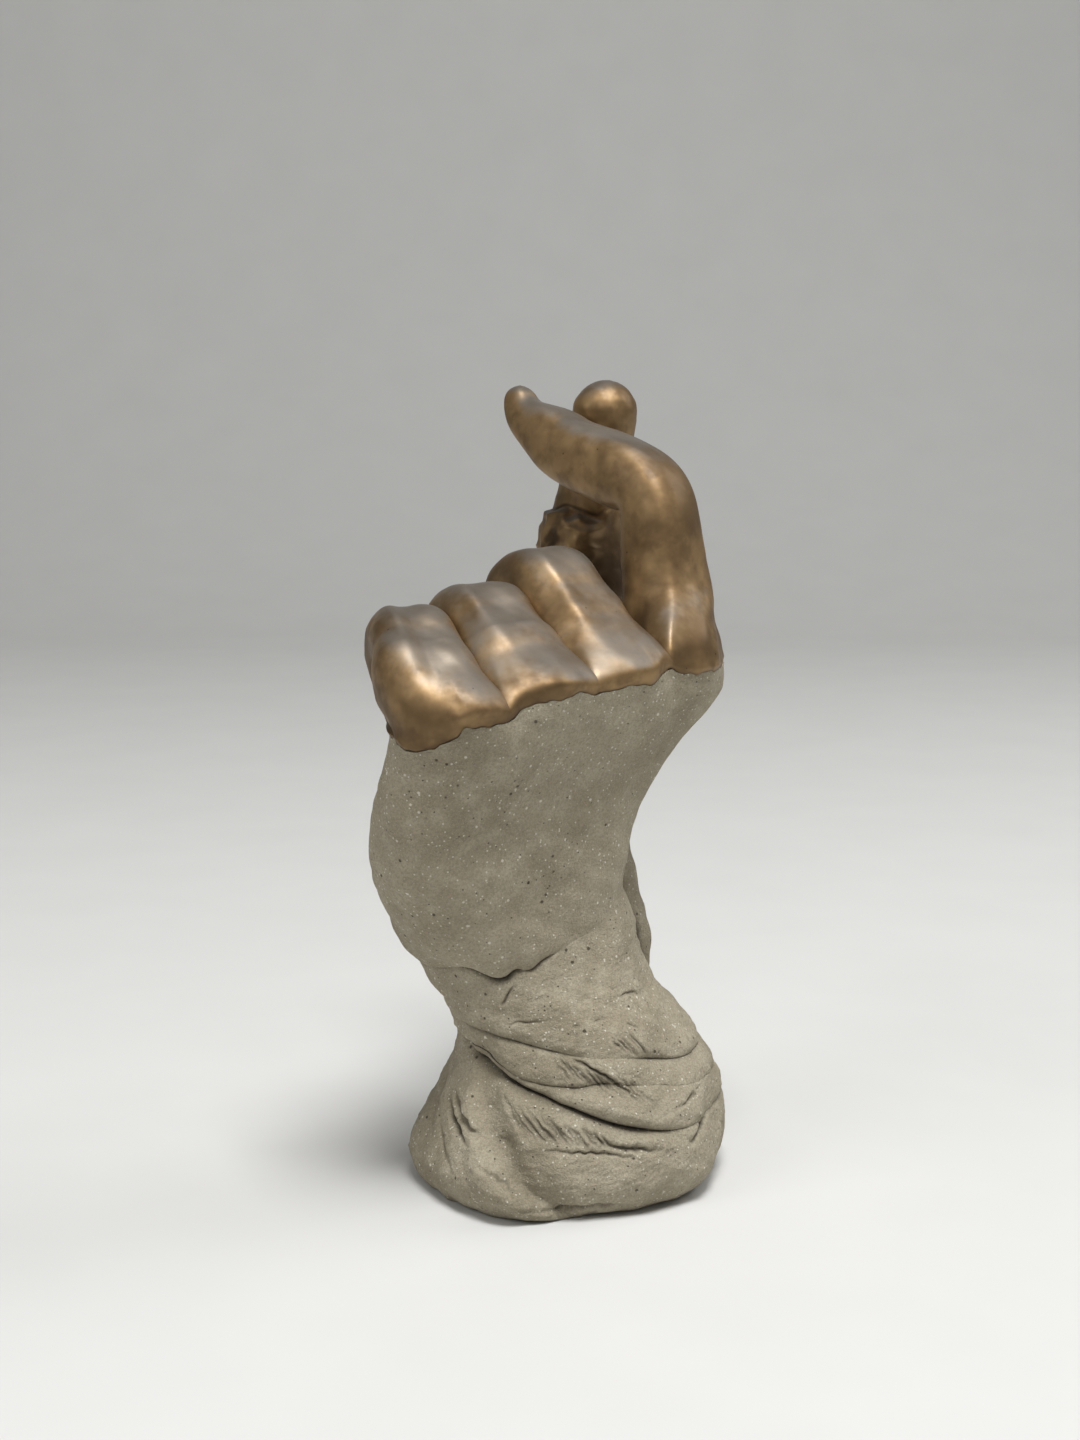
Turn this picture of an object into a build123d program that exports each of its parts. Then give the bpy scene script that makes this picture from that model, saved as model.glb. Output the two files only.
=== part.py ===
"""Left hand making a finger heart on a twisted cuff, hand-built in stoneware, in millimetres.

+X runs to the right and +Y away from the viewer, who faces the back of the hand. +Z is up and
the origin is the middle of the foot on the floor. Each piece is formed by itself and luted to
its neighbour on a seat, so the pieces meet face to face.
"""
import os
from math import cos, pi, radians, sin, sqrt

from build123d import *

# Heights, stacked from the floor
FOOT_HEIGHT = 24.0
LOWER_WRAP_HEIGHT = 5.0
MIDDLE_WRAP_HEIGHT = 4.2
UPPER_WRAP_HEIGHT = 6.4
WRIST_SHOW = 2.8
HAND_HEIGHT = 49.2

# Cuff, thickness of the clay round the wrist and sideways swing of its middle
FOOT_WALL = 11.0
FOOT_X = -1.0
HEM_WALL = 14.1
HEM_HEIGHT = 5.0
BELLY_WALL = 12.3
BELLY_X = 2.0
BELLY_DROP = 9.1
HIP_WALL = 9.9
HIP_X = 2.7
HIP_DROP = 2.0
WAIST_WALL = 6.6
WAIST_X = 1.8
WAIST_RISE = 4.5
COLLAR_WALL = 5.6
COLLAR_X = -1.0
COLLAR_RISE = 0.8
NECK_WALL = 2.4
NECK_X = -4.3
CUFF_ROUNDNESS = 0.92
FOLD_COUNT = 5
FOLD_SWELL = 0.028
FOLD_TWIST = 150.0
LOWER_SEAM_TILT = 17.0
MIDDLE_SEAM_TILT = 10.5
UPPER_SEAM_TILT = 9.0
SEAM_TURN = -30.0
WRAP_STEP = 1.0

# Valley where the cloth of the foot drapes, as turns round the cuff from the knuckle row
VALLEY_RADIUS = 9.0
VALLEY_DEPTH = 2.0
VALLEY_TOP_TURN = -173.0
VALLEY_MIDDLE_TURN = -155.0
VALLEY_FOOT_TURN = -129.0

# Wrist, half sizes inside the cuff and at the heel of the hand
SLEEVE_BREADTH = 18.5
SLEEVE_DEPTH = 17.0
WRIST_BREADTH = 21.5
WRIST_DEPTH = 18.5
WRIST_X = -9.0
WRIST_Y = 0.5
WRIST_TILT = 22.0
WRIST_WALL = 6.0
HOLLOW_HEIGHT = 32.0
VENT_RADIUS = 3.0
BASE_THICKNESS = 6.0
BASE_VENT_RADIUS = 2.5
BASE_VENT_OFFSET = 6.0

# Back of the hand and palm
HAND_YAW = 36.0
KNUCKLE_X = -1.3
KNUCKLE_Y = -12.5
KNUCKLE_TILT = 5.5
KNUCKLE_PITCH = 18.3
KNUCKLE_MARGIN = 1.4
KNUCKLE_DEPTH = 13.0
HEEL_SWELL = 1.5
HEEL_SWING = 5.8
HAND_WALL = 7.0

# Index finger, straight run of each bone and its heading away from straight up
INDEX_PROXIMAL = 31.0
INDEX_MIDDLE = 18.5
INDEX_DISTAL = 11.5
INDEX_TIP = 2.5
INDEX_LEAN = 11.0
INDEX_BEND = 70.0
INDEX_HOOK = 60.0
INDEX_TIP_HOOK = 20.0
INDEX_SPLAY = 15.0
INDEX_SPREAD = 12.0
INDEX_ROOT_INSET = 0.25
INDEX_ROOT_DEPTH = 9.8
INDEX_WIDTH = 8.4
INDEX_DEPTH = 8.2
INDEX_PAD_WIDTH = 6.6
INDEX_PAD_DEPTH = 6.4
INDEX_TIP_WIDTH = 3.0
INDEX_TIP_DEPTH = 2.8

# Folded fingers
MIDDLE_PROXIMAL = 12.5
MIDDLE_MIDDLE = 10.0
MIDDLE_DISTAL = 4.0
MIDDLE_LEAN = 36.0
MIDDLE_SPLAY = 0.0
RING_PROXIMAL = 7.0
RING_MIDDLE = 8.0
RING_DISTAL = 3.0
RING_LEAN = 52.0
RING_SPLAY = -7.0
LITTLE_PROXIMAL = 5.0
LITTLE_MIDDLE = 6.0
LITTLE_DISTAL = 3.0
LITTLE_LEAN = 56.0
LITTLE_SPLAY = -16.0
LITTLE_GIRTH = 0.9
FOLD_HEADING = 180.0
TUCK_HEADING = 250.0
FOLD_RADIUS = 4.6
ROOT_LAP = 0.85
ROOT_DEPTH = 12.8
SHAFT_WIDTH = 8.6
SHAFT_DEPTH = 7.3
PAD_WIDTH = 7.0
PAD_DEPTH = 6.2

# Thumb and the mound it stands on, behind the hand
MOUND_FOOT_X = 9.5
MOUND_FOOT_Y = 13.0
MOUND_WAIST_X = 5.0
MOUND_WAIST_Y = 17.0
MOUND_WAIST_DROP = 12.0
MOUND_FOOT_RADIUS = 11.0
MOUND_WAIST_RADIUS = 9.8
MOUND_DROP = 13.6
THUMB_SEAT_X = -1.0
THUMB_SEAT_Y = 28.0
THUMB_JOINT_X = 3.5
THUMB_JOINT_Y = 39.0
THUMB_JOINT_RISE = 24.4
THUMB_TIP_X = 9.0
THUMB_TIP_Y = 38.0
THUMB_TIP_RISE = 60.4
THUMB_ROOT_RADIUS = 10.5
THUMB_SHAFT_RADIUS = 8.0
THUMB_TIP_RADIUS = 6.6

SECTION_POINTS = 16
SQUARENESS = 2.5
CLEARANCE = 0.2

# Sizes that follow from the ones above
middle_seam_z = FOOT_HEIGHT + LOWER_WRAP_HEIGHT
upper_seam_z = middle_seam_z + MIDDLE_WRAP_HEIGHT
cuff_top_z = upper_seam_z + UPPER_WRAP_HEIGHT
wrist_z = cuff_top_z + WRIST_BREADTH * sin(radians(WRIST_TILT)) + WRIST_SHOW
knuckle_z = wrist_z + HAND_HEIGHT
knuckle_breadth = 2 * KNUCKLE_PITCH + KNUCKLE_MARGIN
root_width = KNUCKLE_PITCH / 2 + ROOT_LAP
index_root_width = KNUCKLE_PITCH / 2 - INDEX_ROOT_INSET
fold_inset = SHAFT_DEPTH - FOLD_RADIUS + CLEARANCE
knuckle_bend = ROOT_DEPTH - fold_inset + CLEARANCE
index_bend = INDEX_DEPTH + CLEARANCE


def hand_plane(x, y, z, tilt):
    """Plane across the hand, its X along the knuckle row and its Y towards the palm."""
    return Plane(Location((x, y, z), (0, 0, HAND_YAW)) * Location((0, 0, 0), (0, -tilt, 0)))


def seam_plane(z, tilt, turn):
    """Level plane at a height, tipped down by an angle towards one side of the cuff."""
    return Plane(Location((0, 0, z), (0, 0, turn)) * Location((0, 0, 0), (0, tilt, 0)))


def squared_ring(breadth, depth):
    """Points of a squarish oval with the given half sizes."""
    points = []
    for i in range(SECTION_POINTS):
        x = cos(2 * pi * i / SECTION_POINTS)
        y = sin(2 * pi * i / SECTION_POINTS)
        spread = (abs(x) ** SQUARENESS + abs(y) ** SQUARENESS) ** (-1 / SQUARENESS)
        points.append((breadth * spread * x, depth * spread * y))
    return points


def folded_ring(breadth, depth, z):
    """Points of an oval with shallow folds that turn with height."""
    points = []
    for i in range(6 * FOLD_COUNT):
        turn = 2 * pi * i / (6 * FOLD_COUNT)
        swell = 1 + FOLD_SWELL * cos(FOLD_COUNT * turn + radians(FOLD_TWIST) * z / cuff_top_z)
        points.append((breadth * swell * cos(turn), depth * swell * sin(turn)))
    return points


def ring_loft(planes, rings):
    """Solid through smooth closed rings, one on each plane."""
    with BuildPart() as body:
        for plane, points in zip(planes, rings):
            with BuildSketch(plane):
                with BuildLine():
                    Spline(*points, periodic=True)
                make_face()
        loft()
    return body.part


def along(pairs, share):
    """Value at a share of the way along a list of share and value pairs."""
    for (s0, v0), (s1, v1) in zip(pairs, pairs[1:]):
        if share <= s1:
            return v0 + (v1 - v0) * (share - s0) / (s1 - s0)
    return pairs[-1][1]


def digit(path, across, widths, depths, inset):
    """Round-ended loft of ovals along a path, their half sizes given by share of its length."""
    with BuildPart() as body:
        dome = 1 - widths[-1][1] / path.length
        shares = [dome * i / 15 for i in range(16)]
        shares += [dome + (1 - dome) * sin(radians(a)) for a in (25, 48, 66, 78)]
        for share in shares:
            rounding = sqrt(1 - (max(share - dome, 0) / (1 - dome)) ** 2)
            with BuildSketch(Plane(origin=path @ share, x_dir=across, z_dir=path % share)):
                with Locations((0, -inset)):
                    Ellipse(along(widths, share) * rounding, along(depths, share) * rounding)
        loft()
    return body.part


def finger(place, splay, spread, bones, widths, depths, inset, reach):
    """Finger from a place on the knuckle seat, bent in one plane, rooted a reach below the seat."""
    turned = Location((place * KNUCKLE_PITCH, inset, 0), (0, 0, 90 + splay))
    plane = Plane(knuckles.location * turned * Location((0, 0, 0), (90 + spread, 0, 0)))
    heading = 0
    with BuildLine() as path:
        last = Line((0, -reach), (0, 0))
        for bone, angle, radius in bones:
            last = JernArc(last @ 1, last % 1, radius, heading - angle)
            last = Line(last @ 1, last @ 1 + (last % 1) * bone)
            heading = angle
    return digit(path.wire().moved(plane.location), plane.z_dir, widths, depths, inset)


def folded_finger(place, splay, lean, runs, girth):
    """Finger folded over, with its tip tucked against the palm."""
    widths = [(0, root_width), (0.16, root_width), (0.4, SHAFT_WIDTH), (0.7, SHAFT_WIDTH), (1, PAD_WIDTH)]
    depths = [(0, ROOT_DEPTH), (0.3, SHAFT_DEPTH), (0.7, SHAFT_DEPTH), (1, PAD_DEPTH)]
    bones = zip(runs, (lean, FOLD_HEADING, TUCK_HEADING), (knuckle_bend, FOLD_RADIUS, FOLD_RADIUS))
    return finger(
        place,
        splay,
        0,
        bones,
        [(share, girth * width) for share, width in widths],
        [(share, girth * depth) for share, depth in depths],
        fold_inset,
        CLEARANCE / 20,
    )


def web_plane(place, splay):
    """Upright plane between two fingers, square to the knuckle row but for a splay."""
    turned = Location((place * KNUCKLE_PITCH, 0, 0), (0, 0, splay))
    return Plane(knuckles.location * turned * Location((0, 0, 0), (0, 90, 0)))


# Seats and seams that the pieces share
wrist_seat = hand_plane(WRIST_X, WRIST_Y, wrist_z, WRIST_TILT)
knuckles = hand_plane(KNUCKLE_X, KNUCKLE_Y, knuckle_z, KNUCKLE_TILT)
hand_axis = knuckles.origin - wrist_seat.origin
hand_split = Plane(origin=knuckles.origin, x_dir=knuckles.x_dir, z_dir=knuckles.x_dir.cross(hand_axis))
little_web = web_plane(-1, (LITTLE_SPLAY + RING_SPLAY) / 2)
ring_web = web_plane(0, (RING_SPLAY + MIDDLE_SPLAY) / 2)
index_web = web_plane(1, MIDDLE_SPLAY)
lower_seam = seam_plane(FOOT_HEIGHT, LOWER_SEAM_TILT, SEAM_TURN)
middle_seam = seam_plane(middle_seam_z, MIDDLE_SEAM_TILT, SEAM_TURN)
upper_seam = seam_plane(upper_seam_z, UPPER_SEAM_TILT, 0)
cuff_top = hand_plane(NECK_X, WRIST_Y, cuff_top_z, 0)

# Hand between the wrist seat and the knuckle seat, widening upwards and swung out at the heel
hand_planes = []
hand_sizes = []
for share in (0, 0.22, 0.45, 0.68, 1):
    bulge = sin(pi * share)
    hand_planes.append(
        hand_plane(
            WRIST_X + (KNUCKLE_X - WRIST_X) * share - HEEL_SWING * bulge,
            WRIST_Y + (KNUCKLE_Y - WRIST_Y) * share,
            wrist_z + HAND_HEIGHT * share,
            WRIST_TILT + (KNUCKLE_TILT - WRIST_TILT) * share,
        )
    )
    breadth = WRIST_BREADTH + (knuckle_breadth - WRIST_BREADTH) * share + HEEL_SWELL * bulge
    hand_sizes.append((breadth, WRIST_DEPTH + (KNUCKLE_DEPTH - WRIST_DEPTH) * share))
hand_solid = ring_loft(hand_planes, [squared_ring(b, d) for b, d in hand_sizes])
hand_hollow = ring_loft(
    hand_planes[:-1], [squared_ring(b - HAND_WALL, d - HAND_WALL) for b, d in hand_sizes[:-1]]
)

with BuildPart() as back_of_hand:
    add(hand_solid)
    add(hand_hollow, mode=Mode.SUBTRACT)
    split(bisect_by=hand_split, keep=Keep.TOP)

with BuildPart() as palm:
    add(hand_solid)
    add(hand_hollow, mode=Mode.SUBTRACT)
    split(bisect_by=hand_split, keep=Keep.BOTTOM)

# Fingers on the knuckle seat, parted from one another by flat webs
with BuildPart() as middle_finger:
    add(folded_finger(0.5, MIDDLE_SPLAY, MIDDLE_LEAN, (MIDDLE_PROXIMAL, MIDDLE_MIDDLE, MIDDLE_DISTAL), 1))
    add(hand_solid, mode=Mode.SUBTRACT)
    split(bisect_by=ring_web, keep=Keep.TOP)
    split(bisect_by=index_web, keep=Keep.BOTTOM)

with BuildPart() as ring_finger:
    add(folded_finger(-0.5, RING_SPLAY, RING_LEAN, (RING_PROXIMAL, RING_MIDDLE, RING_DISTAL), 1))
    add(hand_solid, mode=Mode.SUBTRACT)
    split(bisect_by=little_web, keep=Keep.TOP)
    split(bisect_by=ring_web, keep=Keep.BOTTOM)

with BuildPart() as little_finger:
    little_runs = (LITTLE_PROXIMAL, LITTLE_MIDDLE, LITTLE_DISTAL)
    add(folded_finger(-1.5, LITTLE_SPLAY, LITTLE_LEAN, little_runs, LITTLE_GIRTH))
    add(hand_solid, mode=Mode.SUBTRACT)
    split(bisect_by=little_web, keep=Keep.BOTTOM)

with BuildPart() as index_finger:
    add(
        finger(
            1.5,
            INDEX_SPLAY,
            INDEX_SPREAD,
            [
                (INDEX_PROXIMAL, INDEX_LEAN, index_bend),
                (INDEX_MIDDLE, INDEX_BEND, index_bend),
                (INDEX_DISTAL, INDEX_HOOK, index_bend),
                (INDEX_TIP, INDEX_TIP_HOOK, index_bend),
            ],
            [
                (0, index_root_width),
                (0.25, INDEX_WIDTH),
                (0.6, INDEX_WIDTH),
                (0.84, INDEX_PAD_WIDTH),
                (1, INDEX_TIP_WIDTH),
            ],
            [
                (0, INDEX_ROOT_DEPTH),
                (0.25, INDEX_DEPTH),
                (0.6, INDEX_DEPTH),
                (0.84, INDEX_PAD_DEPTH),
                (1, INDEX_TIP_DEPTH),
            ],
            0,
            index_root_width * sin(radians(INDEX_SPREAD)) + CLEARANCE,
        )
    )
    split(bisect_by=knuckles, keep=Keep.TOP)
    add(middle_finger.part, mode=Mode.SUBTRACT)

# Wrist, hollow from below, with a vent up into the hollow of the hand
wrist_planes = [
    hand_plane(0, WRIST_Y, 0, 0),
    hand_plane(0, WRIST_Y, FOOT_HEIGHT - BELLY_DROP, 0),
    cuff_top,
    wrist_seat,
]
neck_breadth = (SLEEVE_BREADTH + WRIST_BREADTH) / 2
neck_depth = (SLEEVE_DEPTH + WRIST_DEPTH) / 2
sleeve_ring = squared_ring(SLEEVE_BREADTH, SLEEVE_DEPTH)
neck_ring = squared_ring(neck_breadth, neck_depth)
wrist_ring = squared_ring(WRIST_BREADTH, WRIST_DEPTH)
wrist_solid = ring_loft(wrist_planes, [sleeve_ring, sleeve_ring, neck_ring, wrist_ring])
with BuildPart() as wrist:
    add(wrist_solid)
    with BuildSketch(wrist_planes[0]):
        Ellipse(SLEEVE_BREADTH - WRIST_WALL, SLEEVE_DEPTH - WRIST_WALL)
    extrude(amount=HOLLOW_HEIGHT, mode=Mode.SUBTRACT)
    with BuildSketch(Plane.XY.offset(HOLLOW_HEIGHT)):
        with Locations((0.5 * WRIST_X, WRIST_Y)):
            Circle(VENT_RADIUS)
    extrude(amount=wrist_z, mode=Mode.SUBTRACT)

# Slab that closes the mouth of the wrist level with the floor, pierced for firing
with BuildPart() as base_slab:
    with BuildSketch(wrist_planes[0]):
        Ellipse(SLEEVE_BREADTH - WRIST_WALL, SLEEVE_DEPTH - WRIST_WALL)
        with Locations((BASE_VENT_OFFSET, 0)):
            Circle(BASE_VENT_RADIUS, mode=Mode.SUBTRACT)
    extrude(amount=BASE_THICKNESS)

# Cuff of wraps luted round the wrist, each let out by a step over the one below
cuff_levels = (
    (FOOT_X, 0, FOOT_WALL),
    (0, HEM_HEIGHT, HEM_WALL),
    (BELLY_X, FOOT_HEIGHT - BELLY_DROP, BELLY_WALL),
    (HIP_X, FOOT_HEIGHT - HIP_DROP, HIP_WALL),
    (WAIST_X, FOOT_HEIGHT + WAIST_RISE, WAIST_WALL),
    (COLLAR_X, upper_seam_z + COLLAR_RISE, COLLAR_WALL),
)


def wrap(step, below, above):
    """Band of the cuff between two seams, with its wall let out by a step."""
    planes = [hand_plane(x, WRIST_Y, z, 0) for x, z, wall in cuff_levels]
    rings = [
        folded_ring(SLEEVE_BREADTH + wall + step, SLEEVE_DEPTH + CUFF_ROUNDNESS * (wall + step), z)
        for x, z, wall in cuff_levels
    ]
    planes.append(cuff_top)
    rings.append(folded_ring(neck_breadth + NECK_WALL + step, neck_depth + NECK_WALL + step, cuff_top_z))
    with BuildPart() as band:
        add(ring_loft(planes, rings))
        split(bisect_by=below, keep=Keep.TOP)
        split(bisect_by=above, keep=Keep.BOTTOM)
        add(wrist_solid, mode=Mode.SUBTRACT)
    return band.part


def cuff_point(turn, z, out):
    """Point at a turn round the cuff and a height, a distance outside its wall."""
    x = along([(level, middle) for middle, level, wall in cuff_levels], z)
    wall = along([(level, wall) for middle, level, wall in cuff_levels], z) + out
    across = (SLEEVE_BREADTH + wall) * cos(radians(turn))
    palmward = (SLEEVE_DEPTH + CUFF_ROUNDNESS * wall) * sin(radians(turn))
    return hand_plane(x, WRIST_Y, z, 0).from_local_coords((across, palmward, 0))


valley_turns = [(0, VALLEY_TOP_TURN), (0.5, VALLEY_MIDDLE_TURN), (1, VALLEY_FOOT_TURN)]
valley_levels = [(0, FOOT_HEIGHT + WAIST_RISE), (0.5, FOOT_HEIGHT - BELLY_DROP), (1, HEM_HEIGHT / 2)]
valley_points = []
for share in (0, 0.25, 0.5, 0.75, 1):
    outside = VALLEY_RADIUS - VALLEY_DEPTH * sin(pi * share)
    valley_points.append(cuff_point(along(valley_turns, share), along(valley_levels, share), outside))
with BuildLine() as valley_line:
    Spline(*valley_points)
with BuildPart() as foot:
    add(wrap(0, Plane.XY, lower_seam))
    with BuildSketch(Plane(origin=valley_line.wire() @ 0, z_dir=valley_line.wire() % 0)):
        Circle(VALLEY_RADIUS)
    sweep(path=valley_line.wire(), mode=Mode.SUBTRACT)

with BuildPart() as lower_wrap:
    add(wrap(WRAP_STEP, lower_seam, middle_seam))

with BuildPart() as middle_wrap:
    add(wrap(WRAP_STEP / 2, middle_seam, upper_seam))

with BuildPart() as upper_wrap:
    add(wrap(0, upper_seam, cuff_top))

# Mound at the root of the thumb, leaning on the wrist and the palm
thumb_seat = Vector(THUMB_SEAT_X, THUMB_SEAT_Y, knuckle_z - MOUND_DROP)
with BuildLine() as mound_line:
    Spline(
        (MOUND_FOOT_X, MOUND_FOOT_Y, upper_seam_z),
        (MOUND_WAIST_X, MOUND_WAIST_Y, (wrist_z + thumb_seat.Z) / 2 - MOUND_WAIST_DROP),
        thumb_seat,
    )
mound_path = mound_line.wire()
with BuildPart() as thumb_mound:
    for share, radius in (
        (0, MOUND_FOOT_RADIUS),
        (0.35, MOUND_WAIST_RADIUS),
        (0.7, MOUND_WAIST_RADIUS),
        (1, THUMB_ROOT_RADIUS),
    ):
        with BuildSketch(Plane(origin=mound_path @ share, x_dir=(1, 0, 0), z_dir=mound_path % share)):
            Circle(radius)
    loft()
    split(bisect_by=cuff_top, keep=Keep.TOP)
    add(wrist_solid, mode=Mode.SUBTRACT)
    add(hand_solid, mode=Mode.SUBTRACT)

# Thumb on the mound, rising behind the index finger
with BuildLine() as thumb_line:
    Spline(
        thumb_seat,
        (THUMB_JOINT_X, THUMB_JOINT_Y, knuckle_z + THUMB_JOINT_RISE),
        (THUMB_TIP_X, THUMB_TIP_Y, knuckle_z + THUMB_TIP_RISE),
        tangents=(mound_path % 1, (0.1, -0.1, 1)),
    )
thumb_girth = [(0, THUMB_ROOT_RADIUS), (0.35, THUMB_SHAFT_RADIUS), (0.55, THUMB_SHAFT_RADIUS), (1, THUMB_TIP_RADIUS)]
with BuildPart() as thumb:
    add(digit(thumb_line.wire(), (1, 0, 0), thumb_girth, thumb_girth, 0))
    add(hand_solid, mode=Mode.SUBTRACT)
    add(middle_finger.part, mode=Mode.SUBTRACT)
    add(index_finger.part, mode=Mode.SUBTRACT)

pieces = {
    "index_finger": index_finger,
    "middle_finger": middle_finger,
    "ring_finger": ring_finger,
    "little_finger": little_finger,
    "thumb": thumb,
    "thumb_mound": thumb_mound,
    "back_of_hand": back_of_hand,
    "palm": palm,
    "wrist": wrist,
    "upper_wrap": upper_wrap,
    "middle_wrap": middle_wrap,
    "lower_wrap": lower_wrap,
    "foot": foot,
    "base_slab": base_slab,
}
os.makedirs("parts", exist_ok=True)
for name, piece in pieces.items():
    piece.part.label = name
    export_step(piece.part, f"parts/{name}.step")
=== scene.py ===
# %% [markdown]
# # A stoneware hand with bronze fingers
#
# The object is a left hand seen from its back. Index finger and thumb cross in a small heart, the
# other fingers are curled, and the hand grows out of a cuff that is twisted like cloth. The fingers
# carry a bronze lustre glaze, and everything below the knuckles is bare, gritty stoneware.
#
# The first cell loads the packed solid model. It is the frame: every piece made below takes the
# place of one of its nodes, in the same coordinates, in metres.

import bpy
import numpy as np
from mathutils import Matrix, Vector


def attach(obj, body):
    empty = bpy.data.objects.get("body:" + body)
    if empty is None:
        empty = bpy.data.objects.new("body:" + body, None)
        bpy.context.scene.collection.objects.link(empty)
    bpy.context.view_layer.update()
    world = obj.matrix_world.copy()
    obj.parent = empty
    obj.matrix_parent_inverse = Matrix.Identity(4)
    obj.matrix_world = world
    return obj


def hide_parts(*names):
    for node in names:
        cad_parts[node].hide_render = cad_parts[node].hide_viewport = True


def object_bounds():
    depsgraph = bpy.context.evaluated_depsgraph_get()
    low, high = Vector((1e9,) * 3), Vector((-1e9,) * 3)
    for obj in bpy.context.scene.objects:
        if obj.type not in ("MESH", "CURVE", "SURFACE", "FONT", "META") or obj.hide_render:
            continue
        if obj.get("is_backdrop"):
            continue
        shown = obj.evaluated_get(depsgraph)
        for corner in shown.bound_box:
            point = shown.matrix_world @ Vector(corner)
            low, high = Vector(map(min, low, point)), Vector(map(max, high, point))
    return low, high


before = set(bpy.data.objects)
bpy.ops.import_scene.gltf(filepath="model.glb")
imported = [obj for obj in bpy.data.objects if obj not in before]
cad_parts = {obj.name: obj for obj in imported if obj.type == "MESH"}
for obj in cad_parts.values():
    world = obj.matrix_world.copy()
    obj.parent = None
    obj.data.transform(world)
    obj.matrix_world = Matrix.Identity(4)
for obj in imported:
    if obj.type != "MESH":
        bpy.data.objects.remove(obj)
cad_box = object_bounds()
MM = 0.001
print("nodes:", sorted(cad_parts))

# %% [markdown]
# ## Small tools
#
# A potter works with soft curves, so four helpers do most of the drawing. One lays a smooth curve
# through a few chosen marks, and two make a soft step and a soft bell. The last is unevenness: a sum
# of waves in random directions, which is cheaper than sculpting and gives the same lumps on every
# run because its seed is fixed. All take whole arrays, so no loop ever visits a single vertex.

# %% Curves and lumps
def through(marks, values, x):
    """Cubic curve through marks: every slope is the mean slope of its neighbours, and between two
    marks the Hermite polynomial blends both values and both slopes."""
    marks, values = np.asarray(marks, float), np.asarray(values, float)
    slopes = np.gradient(values, marks)
    i = np.clip(np.searchsorted(marks, x) - 1, 0, len(marks) - 2)
    run = marks[i + 1] - marks[i]
    t = np.clip((x - marks[i]) / run, 0, 1)
    rise = t * t * (3 - 2 * t)
    start = values[i] + rise * (values[i + 1] - values[i])
    return start + run * t * (1 - t) * ((1 - t) * slopes[i] - t * slopes[i + 1])


def ramp(x, low, high):
    """Smooth step: 0 below low, 1 above high, with level ends."""
    t = np.clip((x - low) / (high - low), 0, 1)
    return t * t * (3 - 2 * t)


def hill(x, middle, width):
    """Bell curve of height 1."""
    return np.exp(-(((x - middle) / width) ** 2))


WAVE_SPREAD = (0.7, 1.5)


def lumps(points, size, seed, waves=18):
    """Soft random relief of about unit height: the sum of sine waves that run in seeded random
    directions, with wavelengths close to the given size."""
    rng = np.random.default_rng(seed)
    ways = rng.normal(size=(waves, 3))
    wavelength = size * rng.uniform(*WAVE_SPREAD, (waves, 1))
    ways *= 2 * np.pi / (wavelength * np.linalg.norm(ways, axis=1, keepdims=True))
    return np.sin(points @ ways.T + rng.uniform(0, 2 * np.pi, waves)).sum(-1) * np.sqrt(2 / waves)


probe = np.random.default_rng(1).uniform(0, 80, (4000, 3))
print("lumps spread:", round(float(lumps(probe, 9, 3).std()), 2))

# %% [markdown]
# ## From a grid of points to a closed mesh
#
# Every new piece is a grid: rows run along the piece and columns run round it. The columns always
# close on themselves. The rows either close too, as on a ring-shaped band of clay, or are drawn
# together to a point at both ends, as on a finger. If the volume comes out negative, the faces are
# turned round, so that they always look outwards. Each vertex also keeps one number, called
# crevice, from 0 on open surfaces to 1 deep in a groove, which the finishes use later to paint shade.

# %% Grid to mesh
SHARP_ANGLE = np.radians(48)


def signed_volume(points, faces):
    """Volume between faces and the origin: the sum of (a . b x c) / 6 over the triangles of each."""
    first, *others = (points[faces[:, k]] for k in range(faces.shape[1]))
    return sum((first * np.cross(b, c)).sum() for b, c in zip(others, others[1:])) / 6


def closed_mesh(name, grid, crevice, ring=False):
    """Mesh of quads between neighbours of a grid, with a fan to the mean of each end row unless the
    rows form a ring. Its faces are turned round if they enclose a negative volume."""
    rows, columns = grid.shape[:2]
    points = grid.reshape(-1, 3)
    index = np.arange(rows * columns).reshape(rows, columns)
    if ring:
        index = np.vstack([index, index[:1]])
    beside = np.roll(index, -1, axis=1)
    quads = np.stack([index[:-1], beside[:-1], beside[1:], index[1:]], -1).reshape(-1, 4)
    fans = np.empty((0, 3), int)
    marks = crevice.reshape(-1)
    if not ring:
        poles = np.array([grid[0].mean(0), grid[-1].mean(0)])
        first, last = len(points), len(points) + 1
        low = np.stack([np.full(columns, first), beside[0], index[0]], -1)
        high = np.stack([np.full(columns, last), index[-1], beside[-1]], -1)
        fans = np.vstack([low, high])
        points = np.vstack([points, poles])
        marks = np.r_[marks, crevice[0].mean(), crevice[-1].mean()]
    volume = signed_volume(points, quads) + signed_volume(points, fans)
    if volume < 0:
        quads, fans = quads[:, ::-1], fans[:, ::-1]
    mesh = bpy.data.meshes.new(name)
    mesh.from_pydata((points * MM).tolist(), [], quads.tolist() + fans.tolist())
    mesh.polygons.foreach_set("use_smooth", np.ones(len(mesh.polygons), bool))
    mesh.set_sharp_from_angle(angle=SHARP_ANGLE)
    mesh.attributes.new("crevice", "FLOAT", "POINT").data.foreach_set("value", marks.astype(np.float32))
    return mesh, abs(volume)


def make_piece(node, grid, crevice, finish, ring=False):
    """Object for one node: it replaces the node and rides on the only body."""
    mesh, volume = closed_mesh(node + "_skin", grid, crevice, ring)
    piece = bpy.data.objects.new(node + "_skin", mesh)
    bpy.context.scene.collection.objects.link(piece)
    mesh.materials.append(FINISHES[finish])
    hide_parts(node)
    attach(piece, "root")
    print(f"{node}: about {2 * len(mesh.polygons)} triangles, {volume / 1000:.1f} cm3")


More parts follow.
